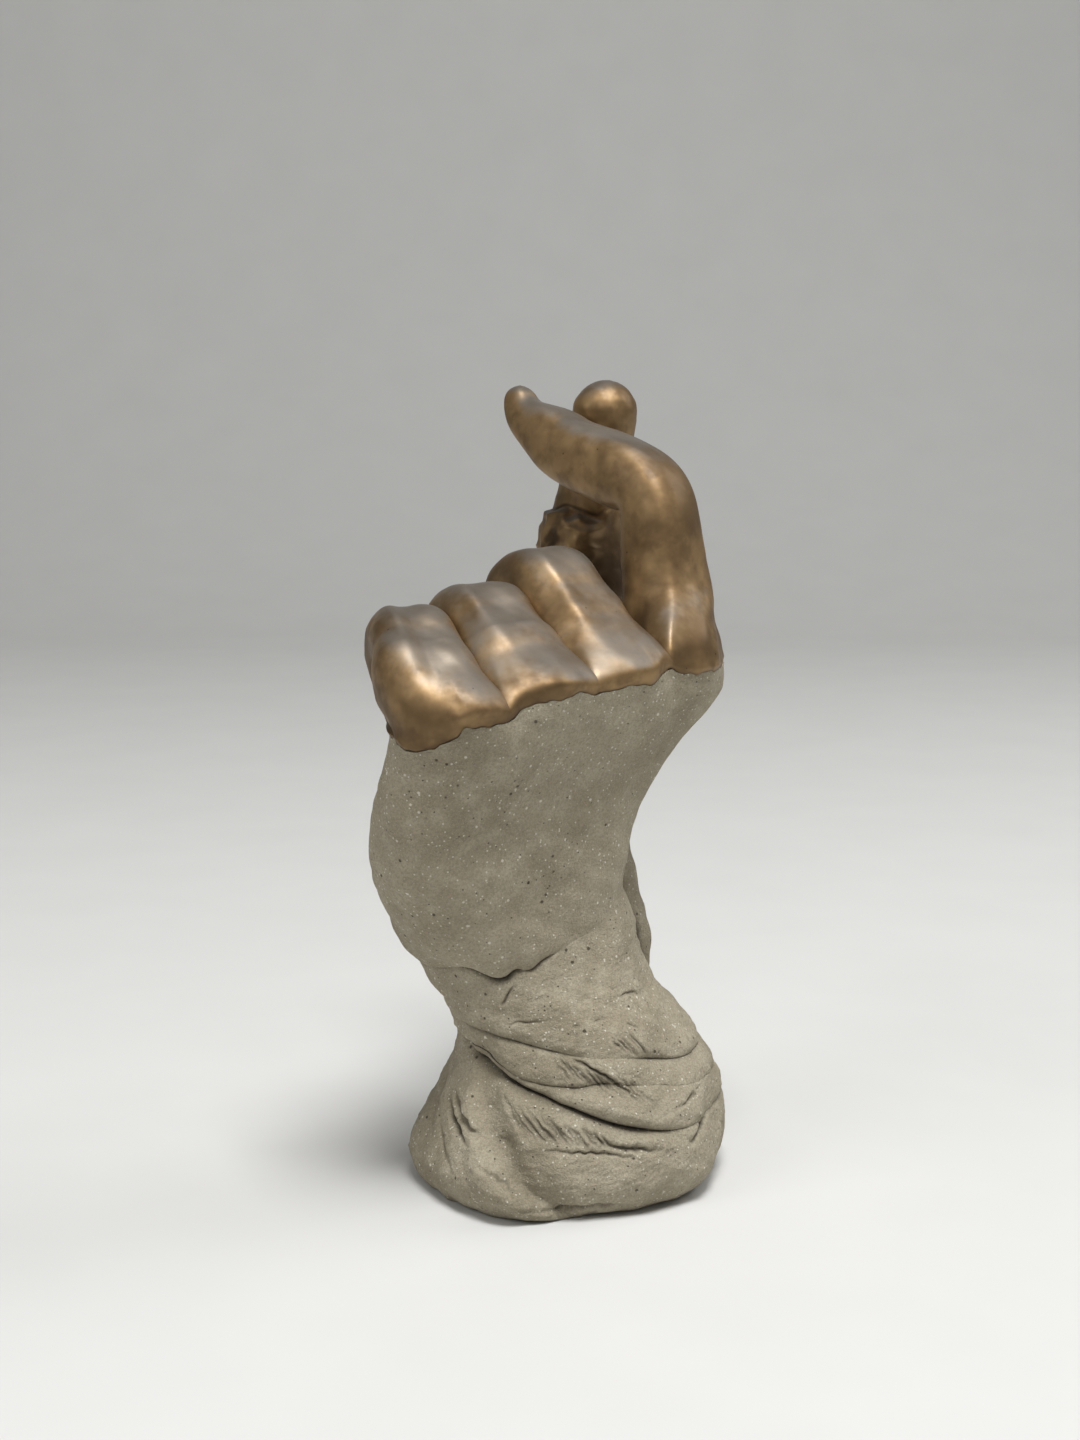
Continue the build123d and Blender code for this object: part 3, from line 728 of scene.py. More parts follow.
SEAM_FORCE = {
    "lower": [(-180, 0.2), (-155, 0.6), (-140, 0.9), (-120, 1.0), (-62, 1.0), (-46, 0.35), (-20, 0.25),
              (60, 0.45), (140, 0.3)],
    "middle": [(-180, 0.06), (-150, 0.06), (-130, 0.25), (-105, 0.5), (-75, 0.5), (-55, 0.18), (-20, 0.15),
               (100, 0.25), (150, 0.1)],
    "upper": [(-180, 0.15), (-150, 0.2), (-125, 0.45), (-95, 0.4), (-82, 0.12), (-62, 0.12), (-48, 0.5),
              (-25, 0.5), (10, 0.25)],
}
SEAM_START, SEAM_STEPS = 25.0, 6


def seam_level(name, turn):
    """Level of a seam at each turn: the periodic curve through its marks, met by repeating the step
    level -> curve(angle of the skin at that level)."""
    marks = np.array(SEAMS[name])
    angles = np.r_[marks[:, 0] - 360, marks[:, 0], marks[:, 0] + 360]
    heights = np.tile(marks[:, 1], 3)
    level = np.full_like(turn, SEAM_START)
    for _ in range(SEAM_STEPS):
        points, _ = skin(turn, level)
        level = through(angles, heights, np.degrees(np.arctan2(points[:, 1], points[:, 0])))
    return level


def seam_force(name, angle):
    """Strength of a seam at each angle: 1 where it is a deep fold, near 0 where it is smeared over."""
    return np.interp(angle, *np.array(SEAM_FORCE[name]).T, period=360)


print("seams in front, in mm:", [seam_level(name, np.array([FRONT])).round(1)[0] for name in SEAMS])

# %% [markdown]
# ## Foot and wraps
#
# Each band is a grid from its lower seam to its upper one, bent to the shape of the worked skin. The
# inside follows the core of the wrist, so the band is a closed ring of clay like the real one. Where
# the relief would cut through to the core, it stops at a least wall.

# %% Foot and wraps
LEAST_WALL = 0.6
ROLL, ROLL_PLACE, ROLL_WIDTH = 0.9, 2.2, 2.0
FOOT_TUCK, FOOT_RUN = 1.0, 0.7


def rolled_edge(d):
    """Profile above a seam, by distance from it: a roll as a bell, less a dive and a slit that both
    fall off as exp(-d)."""
    return ROLL * hill(d, ROLL_PLACE, ROLL_WIDTH) - 2.6 * np.exp(-d / 1.6) - 0.5 * np.exp(-d / 0.25)


def tucked_edge(d):
    """Profile below a seam, by distance from it: a dive and a slit that both fall off as exp(-d)."""
    return -(2.4 * np.exp(-d / 1.5) + 0.6 * np.exp(-d / 0.3))


def wrap_grid(low, high, rows, count):
    """Ring-shaped band of worked skin between two seams, closed by the wrist's core inside. It is rolled
    over the seam below and tucked under the one above, as far as each seam has force."""
    turn = columns(count)
    bottom = np.zeros(count) if low is None else seam_level(low, turn)
    top = np.full(count, CUFF_TOP_Z) if high is None else seam_level(high, turn)
    level = bottom + (top - bottom) * np.linspace(0, 1, rows)[:, None]
    points, out, relief, crevice = worked(turn, level)
    angle = np.degrees(np.arctan2(points[..., 1], points[..., 0]))
    if low is not None:
        force, d = seam_force(low, angle), level - bottom
        relief = relief + force * rolled_edge(d)
        # Painted shade along the seam below, as strong as its force.
        crevice = np.maximum(crevice, force * np.exp(-d / 0.7))
    if high is not None:
        force, d = seam_force(high, angle), top - level
        relief = relief + force * tucked_edge(d)
        # Painted shade along the seam above, as strong as its force.
        crevice = np.maximum(crevice, force * np.exp(-d / 0.8))
    if low is None:
        relief = relief - FOOT_TUCK * np.exp(-level / FOOT_RUN) * (1 + 0.5 * lumps(points, 6, 31))
    room = ((points - core(turn, level)) * out).sum(-1) - LEAST_WALL
    outside = points + np.maximum(relief, -room)[..., None] * out
    inside = core(turn, np.stack([top, bottom]))
    grid = np.concatenate([outside, inside])
    return grid, np.concatenate([crevice, np.ones((2, count))])


CUFF_COLUMNS = 640
for node, low, high, rows in [
    ("foot", None, "lower", 118),
    ("lower_wrap", "lower", "middle", 44),
    ("middle_wrap", "middle", "upper", 44),
    ("upper_wrap", "upper", None, 52),
]:
    make_piece(node, *wrap_grid(low, high, rows, CUFF_COLUMNS), "bare_stoneware", ring=True)

# %% [markdown]
# ## Wrist
#
# Only a narrow strip of the wrist shows, between the cuff and the heel of the hand. Its core goes
# down inside the cuff to the floor and is hollow from below, as clay of this thickness has to be
# or it bursts in the kiln. The strip uses the shared skin, so it flows into its neighbours.

# %% Heel of the hand
HEEL_RISE = [(-200, 2.5), (-174, 3.4), (-152, 4.0), (-146, 3.4), (-140, 1.3), (-132, 0.7), (-124, 1.5),
             (-117, 0.6), (-110, 1.3), (-96, 1.6), (-60, 0.8), (0, 0), (90, 0)]
HEEL_FOLD = [(-210, 0.2), (-180, 0.8), (-150, 1.0), (-128, 1.0), (-112, 0.55), (-96, 0.3), (-60, 0.1),
             (-30, 0)]
HEEL_CRACK = [(-160, 0.1), (-146, 0.9), (-130, 1), (-124, 0.7), (-121, 0.1), (-117, 0.6), (-106, 0.5),
              (-100, 0)]
HEEL_DIVE, FOLD_RUN, CRACK_RUN = 1.3, 2.2, 0.35


def degrees_from(turn, start):
    """Angle in degrees within one turn from a start, so that the marks beyond it stay in line."""
    return (np.degrees(turn) - start) % 360 + start


def seat_level(turn):
    """Level of the seam below the heel of the hand: it steps up on the little finger's side."""
    marks = np.array(HEEL_RISE)
    angles, rises = np.r_[marks[:, 0], marks[:2, 0] + 360], np.r_[marks[:, 1], marks[:2, 1]]
    return SEAT_Z + through(angles, rises, degrees_from(turn, -200))


def heel_crack(turn, gap):
    """Dive of the skin at that seam: a soft fold under the heel, with a sharp crack along part of it."""
    angle = degrees_from(turn, -225)
    fold = np.interp(angle, *np.array(HEEL_FOLD).T)
    crack = np.interp(angle, *np.array(HEEL_CRACK).T)
    dive = HEEL_DIVE * (fold * np.exp(-gap / FOLD_RUN) + crack * np.exp(-gap / CRACK_RUN))
    # The second value is painted shade: strong in the crack, weak under the fold.
    return dive, np.maximum(crack * np.exp(-gap / 0.4), 0.25 * fold * np.exp(-gap / 0.9))


steps = seat_level(np.radians(np.arange(-200.0, 90.0)))
print("seam below the heel runs from", steps.min().round(1), "to", steps.max().round(1), "mm")

# %% Wrist
CORE_ROWS, CORE_SHARE = [0.0, 14.9, 24.0, 30.0, 35.0, CUFF_TOP_Z - 0.2], 0.93
MOUTH_BREADTH, MOUTH_DEPTH, MOUTH_TOP = 12.5, 11, 32


def wrist_grid(rows=70, count=360):
    """Profile carried round the wrist: hollow, floor ring, core and worked strip up to the seat."""
    turn = columns(count)
    seat = seat_level(turn)
    level = CUFF_TOP_Z + (seat - CUFF_TOP_Z) * np.linspace(0, 1, rows)[:, None]
    points, out, relief, dark = worked(turn, level)
    dive, crevice = heel_crack(turn, seat - level)
    strip = points + (relief - dive)[..., None] * out
    deep = core(turn, np.array(CORE_ROWS)[:, None] * np.ones(count), CORE_SHARE)
    across, palmward, _ = axes(np.zeros(count))
    x, y = MOUTH_BREADTH * np.cos(turn), MOUTH_DEPTH * np.sin(turn)
    mouth = x[:, None] * across + y[:, None] * palmward + (0, SEAT_Y, 0)
    hollow = np.stack([mouth + (0, 0, MOUTH_TOP), mouth])
    grid = np.concatenate([hollow, deep, strip])
    return grid, np.concatenate([np.ones((2 + len(deep), count)), np.maximum(crevice, dark)])


make_piece("wrist", *wrist_grid(), "bare_stoneware")

# %% [markdown]
# ## Edge of the glaze
#
# The hand stops where the glaze begins, on a ragged line along the knuckles. It dips on the little
# finger's side and jumps up between middle and index finger. The line is drawn by place along the
# knuckle row, counted in fingers, and by height above the knuckle plane. As the skin leans, the level
# at which it meets the line isn't known beforehand, so a few steps close in on it.

# %% Glaze line
GLAZE_LINE = [(-2.5, -6.0), (-2.2, -5.0), (-2.0, -3.9), (-1.8, -1.6), (-1.61, 0.6), (-1.4, 1.0), (-1.17, 1.2),
              (-0.98, 2.6), (-0.83, 3.1), (-0.35, 3.3), (0.16, 2.6), (0.6, 2.4), (0.82, 4.0), (0.95, 3.6),
              (1.15, 2.2), (1.7, 1.3), (2.2, 0.8)]
PALM_LINE, PALM_DIP, PALM_DIP_RUN = 1.0, 3.0, (1.8, 2.3)
TOP_STEPS, TOP_PULL, TOP_LOW, TOP_HIGH = 8, 0.8, KNUCKLE_Z - 6, KNUCKLE_Z + 5.8


def glaze_line(points, ragged=1.0):
    """Height of the glaze's edge above the knuckle plane: drawn on the back, nearly level on the
    palm side, and ragged everywhere."""
    local = (points - KNUCKLE) @ KNUCKLE_AXES.T
    place = local[..., 0] / PITCH
    drawn = np.interp(place, *np.array(GLAZE_LINE).T)
    back = ramp(-local[..., 1], -3, 5)
    uneven = 0.3 * lumps(points, 6, 41) + 0.15 * lumps(points, 2.2, 42)
    palm = PALM_LINE - PALM_DIP * ramp(-place, *PALM_DIP_RUN)
    return drawn * back + palm * (1 - back) + ragged * uneven


def top_level(turn):
    """Level at which the skin meets the glaze line, found by stepping."""
    level = np.full_like(turn, KNUCKLE_Z + 1)
    for _ in range(TOP_STEPS):
        points, _ = skin(turn, level)
        above = (points - KNUCKLE) @ KNUCKLE_AXES[2] - glaze_line(points)
        level = np.clip(level - TOP_PULL * above, TOP_LOW, TOP_HIGH)
    return level


print("glaze begins at", top_level(np.radians([-150.0, -90.0, -30.0])).round(1), "mm on the back")

# %% [markdown]
# ## Back of the hand and palm
#
# The hand is two pinched shells joined along its edges. Each is a half of the shared skin, closed by
# the flat where the halves meet. At the heel it dives into the seam above the wrist.

# %% Hand shells
def shell_grid(start, stop, rows, count, chord=12):
    """Half of the worked skin from the wrist seat to the glaze line, its two edges joined by
    straight chords. The heel crack dives at the seat."""
    turn = np.radians(np.linspace(start, stop, count))
    seat = seat_level(turn)
    level = seat + (top_level(turn) - seat) * np.linspace(0, 1, rows)[:, None]
    points, out, relief, dark = worked(turn, level)
    dive, crevice = heel_crack(turn, level - seat)
    outside = points + (relief - dive)[..., None] * out
    t = np.linspace(0, 1, chord + 2)[1:-1, None]
    flat = outside[:, -1, None] * (1 - t) + outside[:, :1] * t
    crevice = np.maximum(crevice, dark)
    return np.concatenate([outside, flat], 1), np.concatenate([crevice, np.ones((rows, chord))], 1)


make_piece("back_of_hand", *shell_grid(-180, 0, 170, 330), "bare_stoneware")
make_piece("palm", *shell_grid(0, 180, 120, 220), "bare_stoneware")

# %% [markdown]
# ## Fingers
#
# A finger is a tube. Its axis is a chain of straight bones and bends, so its heading is a list of
# straight ramps, and summing sine and cosine of the heading gives the path. The section is a
# squarish oval, which leaves the flat facets and soft ridges that catch the light.

# %% Tube
STEP, FINE_STEP, ROOT_FINE = 0.3, 0.14, 3.0
GAP_STRIDE, TIP_LEAST = 3, 0.0004


class Tube:
    """Axis points with the section's two directions and half sizes along it. The share is each point's
    part of the whole length."""

    def __init__(self, axis, across, inward, width, depth, share, length):
        self.axis, self.across, self.inward = axis, across, inward
        self.width, self.depth = width, depth
        self.share, self.length = share, length

    def gap(self, points):
        """Distance of points from the tube's plain surface: from the nearest axis point, the scaled
        radius less one, times the mean half size."""
        squared = ((points[:, None, :] - self.axis[None, ::GAP_STRIDE]) ** 2).sum(-1)
        i = squared.argmin(1) * GAP_STRIDE
        offset = points - self.axis[i]
        x = np.einsum("ij,ij->i", offset, self.across[i])
        y = np.einsum("ij,ij->i", offset, self.inward[i])
        rest = offset - x[:, None] * self.across[i] - y[:, None] * self.inward[i]
        size = (self.width[i] + self.depth[i]) / 2
        radius = np.hypot(x / self.width[i], y / self.depth[i])
        return np.hypot(radius * size, np.linalg.norm(rest, axis=1)) - size


def dome(share, tip, length):
    """Factor that rounds off the end of a tube as a quarter circle of the tip's own half size."""
    start = 1 - tip / length
    over = np.clip(share - start, 0, None) / (1 - start)
    return np.sqrt(np.clip(1 - over**2, TIP_LEAST, 1))


print("a tip keeps", round(float(dome(0.99, 8, 80)), 2), "of its size just before its end")

# %% Finger tubes
def bone_chain(bones, reach):
    """Path in a plane: heading ramps by radius * angle through each bend and stays level along each
    bone. x and y are the running sums of its sine and cosine, in finer steps at the root."""
    places, headings = [0, reach], [0, 0]
    for run, heading, radius in bones:
        places.append(places[-1] + radius * np.radians(abs(heading - headings[-1])))
        places.append(places[-1] + run)
        headings += [heading, heading]
    fine = reach + ROOT_FINE
    s = np.r_[np.arange(0, fine, FINE_STEP), np.arange(fine, places[-1], STEP)]
    run = np.diff(s, prepend=0)
    heading = np.radians(np.interp(s, places, headings))
    x = np.cumsum(np.sin(heading) * run)
    y = np.cumsum(np.cos(heading) * run) - reach
    return s / s[-1], x, y, heading, places[-1]


def finger_tube(place, splay, spread, bones, widths, depths, inset, reach):
    """Tube on the knuckle row. Its plane is turned by the splay and tipped by the spread; sizes are
    given by share of the length, and the tip is rounded off as a quarter circle."""
    across0, palm0, up0 = KNUCKLE_AXES
    turn, tip = np.radians(splay), np.radians(spread)
    side = np.cos(turn) * across0 + np.sin(turn) * palm0
    flex = -np.sin(turn) * across0 + np.cos(turn) * palm0
    rise = np.cos(tip) * up0 + np.sin(tip) * side
    across = np.cos(tip) * side - np.sin(tip) * up0
    part, x, y, heading, length = bone_chain(bones, reach)
    origin = KNUCKLE + place * PITCH * across0 + inset * palm0
    inward = np.cos(heading)[:, None] * flex - np.sin(heading)[:, None] * rise
    axis = origin + x[:, None] * flex + y[:, None] * rise - inset * inward
    tip = dome(part, widths[-1][1], length)
    width = through(*zip(*widths), part) * tip
    depth = through(*zip(*depths), part) * tip
    tube = Tube(axis, np.broadcast_to(across, axis.shape), inward, width, depth, part, length)
    tube.place, tube.reach = place, reach
    return tube


print("a bend of 90 degrees on 10 mm takes", round(bone_chain([(0, 90, 10)], 0)[-1], 1), "mm")

# %% The four fingers
# A bone has its run, its heading in degrees and the radius of the bend before it. A half size has its
# share of the finger's length.
FOLD_RADIUS, KNUCKLE_BEND, FOLD_INSET, FOLDED_REACH = 4.6, 10.1, 2.9, 4.0
FOLD_HEADINGS = (180, 250)
FOLDED_WIDTHS = [(0, 10), (0.16, 9.8), (0.4, 8.4), (0.7, 8.3), (1, 7)]
FOLDED_DEPTHS = [(0, 12.8), (0.12, 11.2), (0.3, 7.4), (0.7, 7.0), (1, 6.2)]
INDEX_PLACE, INDEX_SPLAY, INDEX_SPREAD, INDEX_REACH = 1.5, 15, 12, 3.6
INDEX_BONES = [(31, 11, 8.4), (17.1, 70, 8.4), (9.6, 60, 24), (1.2, 4, 8)]
INDEX_WIDTHS = [(0, 8.8), (0.25, 8.0), (0.6, 7.9), (0.82, 6.3), (0.92, 4.4), (1, 2.5)]
INDEX_DEPTHS = [(0, 9.6), (0.25, 7.8), (0.6, 7.8), (0.82, 6.1), (0.92, 4.2), (1, 2.4)]
FOLDED = {
    "middle_finger": (0.5, 0, 36, (12.5, 10, 4), 1.0),
    "ring_finger": (-0.5, -7, 52, (7, 8, 3), 1.0),
    "little_finger": (-1.5, -16, 56, (5, 6, 3), 0.9),
}


def folded_tube(place, splay, lean, runs, girth):
    """Finger folded over until its tip meets the palm."""
    bones = zip(runs, (lean, *FOLD_HEADINGS), (KNUCKLE_BEND, FOLD_RADIUS, FOLD_RADIUS))
    widths = [(s, width * girth) for s, width in FOLDED_WIDTHS]
    depths = [(s, depth * girth) for s, depth in FOLDED_DEPTHS]
    return finger_tube(place, splay, 0, bones, widths, depths, FOLD_INSET, FOLDED_REACH)


tubes = {name: folded_tube(*facts) for name, facts in FOLDED.items()}
tubes["index_finger"] = finger_tube(
    INDEX_PLACE, INDEX_SPLAY, INDEX_SPREAD, INDEX_BONES, INDEX_WIDTHS, INDEX_DEPTHS, 0, INDEX_REACH
)
print({name: round(tube.length, 1) for name, tube in tubes.items()})

# %% [markdown]
# ## Axes of thumb and mound
#
# The thumb stands behind the others on a thick roll of clay, the mound. Both are tubes along a smooth
# curve through a few marks. They share one mark, the thumb's seat, and one direction there, so the
# thumb grows out of the mound without a kink.

# %% Thumb tubes
CURVE_POINTS = 400


def curve_tube(marks, radii, rounded):
    """Tube along a cubic through marks, evenly stepped along its length. The section keeps its first
    direction level."""
    marks = np.array(marks, float)
    knots = np.r_[0, np.cumsum(np.linalg.norm(np.diff(marks, axis=0), axis=1))]
    fine = np.linspace(0, knots[-1], CURVE_POINTS)
    line = np.stack([through(knots, marks[:, k], fine) for k in range(3)], -1)
    length = np.r_[0, np.cumsum(np.linalg.norm(np.diff(line, axis=0), axis=1))]
    s = np.arange(0, length[-1], STEP)
    axis = np.stack([np.interp(s, length, line[:, k]) for k in range(3)], -1)
    way = np.gradient(axis, axis=0)
    way /= np.linalg.norm(way, axis=1, keepdims=True)
    across = np.array([1.0, 0, 0]) - way[:, :1] * way
    across /= np.linalg.norm(across, axis=1, keepdims=True)
    part = s / s[-1]
    radius = through(*zip(*radii), part)
    if rounded:
        radius = radius * dome(part, radii[-1][1], s[-1])
    return Tube(axis, across, np.cross(way, across), radius, radius, part, s[-1])


THUMB_SEAT = (-1, 28, 86.05)
THUMB_MARKS = [(0.6, 23.4, 76), THUMB_SEAT, (0.8, 34.6, 105), (3.5, 39, 124.05), (6.6, 39.6, 143),
               (9, 38, 160.05)]
THUMB_RADII = [(0, 10), (0.125, 10.4), (0.431, 8.0), (0.607, 7.9), (0.8, 7.1), (1, 6.4)]
MOUND_MARKS = [(9.4, 13, 33.4), (7.9, 14, 41.4), (6.3, 15.5, 49.6), (4.7, 17.4, 57.6), (3.1, 19.7, 65.6),
               (1.6, 22.5, 73.4), THUMB_SEAT]
MOUND_RADII = [(0, 7.4), (0.1, 9.0), (0.22, 10.0), (0.4, 9.7), (0.7, 9.6), (1, 10.3)]
tubes["thumb"] = curve_tube(THUMB_MARKS, THUMB_RADII, True)
tubes["thumb_mound"] = curve_tube(MOUND_MARKS, MOUND_RADII, False)
SEAT_WAY = np.diff(tubes["thumb_mound"].axis[-2:], axis=0)[0] / STEP
print("thumb is", round(tubes["thumb"].length, 1), "mm long")

# %% [markdown]
# ## Knuckles that grow out of the hand
#
# At its root a finger has no shape of its own yet: it is the slice of the hand between two webs. A
# few millimetres higher it is a finger. So each row of points is a mix of both, from the slice at
# the edge of the glaze to the tube above the knuckle. The rows are laid along the ragged edge, which
# keeps that edge clean, and the glaze swells over the bare clay there by half a millimetre.

# %% Webs
# A web has its place along the knuckle row, counted in fingers, and its turn in degrees.
WEBS = {-1: -11.5, 0: -3.5, 1: 0.0}
WEB_LAP = 1.6


def web_normal(place):
    """Direction square to the flat web at a place on the knuckle row, towards the index finger."""
    turn = np.radians(WEBS[place])
    return np.cos(turn) * KNUCKLE_AXES[0] + np.sin(turn) * KNUCKLE_AXES[1]


def web_side(points, place):
    """Signed distance from the flat web at a place, positive towards the index finger."""
    return (points - KNUCKLE - place * PITCH * KNUCKLE_AXES[0]) @ web_normal(place)


print("webs are turned by", list(WEBS.values()), "degrees")

# %% Roots
ROOT_SQUARE, ROOT_STEPS, ROOT_TOP_Z = 12.0, 5, KNUCKLE_Z + 3
RAGGED_RUN = 0.9
OUTER_SLOPE, SLOPE_END = {-1.5: 0.25, INDEX_PLACE: -0.3}, 12
GLAZE_SWELL, SWELL_RUN, GLAZE_SINK = 0.5, 1.2, 0.15
CROWN, CROWN_RUN = 1.3, (0.3, 4.0)
LAP, LAP_STEEP, LAP_GENTLE, LAP_END = 0.4, 3, 0.5, 6


def root_section(place, turn, rise):
    """Slice of the hand at a height above the glaze line. Across, a squarish oval is stretched from web
    to web, or to the hand's own edge; its depth is that of the hand's oval there. The level is
    stepped until the height is right. Above the line the glaze swells, below it dives into the clay. A
    crown lifts the middle of a folded finger's slice and lowers its sides, twice as much on the last."""
    side = np.sign(place) * (abs(place) > 1)
    c, s = np.cos(turn), np.sin(turn)
    reach = (np.abs(c) ** ROOT_SQUARE + np.abs(s) ** ROOT_SQUARE) ** (-1 / ROOT_SQUARE)
    u, v = reach * c, reach * s
    v = np.sign(v) * np.abs(v) ** (1 - ramp(side * u, 0.0, 0.5))
    level = KNUCKLE_Z + 2 + rise
    ragged = np.exp(-np.clip(rise, 0, None) / RAGGED_RUN)
    for _ in range(ROOT_STEPS):
        at = np.minimum(level, ROOT_TOP_Z)
        breadth, depth = through(LEVEL, BREADTH, at), through(LEVEL, DEPTH, at)
        across, palmward, _ = axes(np.interp(at, LEVEL, TILT))
        middle = middle_of(at) + (level - at)[..., None] * (0, 0, 1)
        inner = middle + (depth * v)[..., None] * palmward
        left, right = (
            (WEB_LAP * np.sign(web - place) - web_side(inner, web)) / (across @ web_normal(web))
            if web in WEBS
            else np.sign(web) * (breadth + OUTER_SLOPE[place] * np.clip(rise, 0, SLOPE_END))
            for web in (place - 0.5, place + 0.5)
        )
        x = (left + right) / 2 + (right - left) / 2 * u
        wide = np.maximum(np.abs(left), np.abs(right)) if side else breadth
        y = depth * v * np.clip(1 - np.abs(x / wide) ** HAND_SQUARE, 0, 1) ** (1 / HAND_SQUARE)
        points = middle + x[..., None] * across + y[..., None] * palmward
        level = level + rise + glaze_line(points, ragged) - (points - KNUCKLE) @ KNUCKLE_AXES[2]
    around = np.arctan2(y / depth, x / wide)
    _, _, nx, ny = oval(around, breadth, depth, HAND_SQUARE)
    out = nx[..., None] * across + ny[..., None] * palmward
    relief = hand_relief(points.reshape(-1, 3), around.ravel(), level.ravel()).reshape(rise.shape)
    flush = ramp(u, 0.2, 0.7) if side > 0 else 0
    swell = GLAZE_SWELL * np.sqrt(np.clip(rise / SWELL_RUN, 0, 1)) * (1 - flush) - GLAZE_SINK
    inside = np.clip(np.abs(x - (left + right) / 2) / (right - left) * 2, 0, 1)
    crown = CROWN * (1 - side) * ramp(rise, *CROWN_RUN) * (0.5 - inside**2.5) if place < 1 else 0
    dive = LAP_STEEP * np.clip(-rise, 0, LAP) + LAP_GENTLE * np.clip(-rise - LAP, 0, LAP_END)
    return points + (relief + swell + crown - dive)[..., None] * out


trial = root_section(0.5, np.radians(np.arange(0.0, 360.0, 5)), np.ones((1, 72)))[0]
print("root of the middle finger is", np.ptp((trial - KNUCKLE) @ KNUCKLE_AXES[0]).round(1), "mm wide")

# %% [markdown]
# ## Soft joints between fingers
#
# Wet clay is smeared where two fingers touch. A smooth union does the same: where a neighbour is
# closer than k, the surface rises by k/4 * (1 - d/k)^2, so that both sides meet in a rounded valley.
# The flat webs of the solid model then cut off whatever crosses to the neighbour's side.

# %% Smooth union
CREVICE_REACH, CREVICE_FALL = 2.6, 1.5


def fill(points, out, others, k):
    """Smooth union with other tubes: rise by k/4 (1 - d/k)^2. Returns moved points and crevice, a painted
    shade that grows as a neighbour comes near.
    """
    nearest = np.min([tubes[name].gap(points) for name in others], axis=0)
    rise = k / 4 * np.clip(1 - np.clip(nearest, 0, None) / k, 0, 1) ** 2
    # The second value is painted shade, by the distance to the nearest neighbour.
    return points + rise[:, None] * out, np.clip(1 - nearest / CREVICE_REACH, 0, 1) ** CREVICE_FALL


def tube_grid(tube, count, square):
    """Plain surface of a tube with outward directions."""
    turn = 2 * np.pi * np.arange(count) / count
    x, y, nx, ny = oval(turn, tube.width[:, None], tube.depth[:, None], square)
    points = tube.axis[:, None] + x[..., None] * tube.across[:, None] + y[..., None] * tube.inward[:, None]
    out = nx[..., None] * tube.across[:, None] + ny[..., None] * tube.inward[:, None]
    return points, out, turn


print("finger tubes have", [len(tube.axis) for tube in tubes.values()], "rows")

# %% [markdown]
# ## Form of each finger
#
# A plain tube is too even. The folded fingers are filled on the back and swell on the outer side, and
# a low ridge runs along each, as fingertips leave it when they press wet clay. The index finger is
# pinched at its joints instead. Where a tube bends as tightly as it is thick, its rows crowd on the
# inner side, so they are eased apart there.

# %% Finger forms
# A form along the finger has its height, its middle and its width, in millimetres.
RIDGE, RIDGE_TURN = 0.6, np.radians(243)
SIDE_SWELL = {"little_finger": 2.6, "ring_finger": 0.6, "middle_finger": 0.4}
BACK_FILL = {"little_finger": 0.2, "ring_finger": 0.3, "middle_finger": 0.8}
INDEX_DIPS = [(0.7, 42, 6), (0.3, 58, 6), (0.4, 24, 9)]
INDEX_SWELL, INDEX_PINCH = (1.4, 22, 9), (1.8, 40.5, 8)
OUTER_EDGE = [(-12, -32.0), (-4, -34.2), (1, -36.3), (11, -40.1)]
BENDS, EASE_ROUNDS = [(40.5, 8), (75.5, 5)], 50


def along(s, height, middle, width):
    """Bell of a height along the finger."""
    return height * hill(s, middle, width)


def finger_form(name, s, turn):
    """Relief of a finger by distance along it and turn round it: bells along it, each on its own side."""
    back = ramp(-np.sin(turn), 0.0, 0.9)
    if name == "index_finger":
        relief = -back * sum(along(s, *dip) for dip in INDEX_DIPS)
        relief = relief + ramp(np.cos(turn), 0.2, 0.9) * along(s, *INDEX_SWELL)
        return relief - ramp(np.sin(turn), 0.1, 0.9) * along(s, *INDEX_PINCH)
    outer = ramp(-np.cos(turn), 0.2, 0.9)
    ridge = hill(turn, RIDGE_TURN, 0.2) - 0.6 * hill(turn, RIDGE_TURN + 0.55, 0.35)
    relief = back * along(s, BACK_FILL[name], 17, 5) + outer * along(s, SIDE_SWELL[name], 13, 8)
    return relief + ridge * along(s, RIDGE, 19, 9)


def within_edge(points):
    """Little finger held inside the hand's outer edge: x becomes limit + log(1 + exp(2 d)) / 2, which is
    close to x where d = x - limit is large, and close to the limit where it is below zero."""
    limit = np.interp((points - KNUCKLE) @ KNUCKLE_AXES[2], *np.array(OUTER_EDGE).T)
    points[:, 0] = limit + np.logaddexp(0, 2 * (points[:, 0] - limit)) / 2
    return points


def ease(points, s):
    """Rows near a bend of the index finger, drawn many times towards the mean of their neighbours."""
    weight = 0.5 * np.clip(sum(hill(s, *bend) for bend in BENDS), 0, 1)[1:-1, :, None]
    for _ in range(EASE_ROUNDS):
        points[1:-1] += weight * ((points[:-2] + points[2:]) / 2 - points[1:-1])
    return points


def cut_webs(points, place):
    """Points past the flat web to a neighbour, less a small lap, drawn back square to the web."""
    for web in WEBS:
        if abs(web - place) < 1:
            way = np.sign(web - place)
            over = np.clip(web_side(points, web) * way - WEB_LAP, 0, None)
            points = points - (over * way)[..., None] * web_normal(web)
    return points


print("index finger swells by", INDEX_SWELL[0], "mm and is eased at", [bend[0] for bend in BENDS], "mm")

# %% Fingers
FINGER_SQUARE, FINGER_COLUMNS, FINGER_FILL = 2.7, 200, 4.4
ROOT_FILL, ROOT_FILL_RUN = 3.6, (4, 11)
INDEX_FADE, FOLDED_FADE = (0.8, 17), (0.8, 6.5)
EDGE_SHADE, EDGE_RUN = 0.6, 0.8


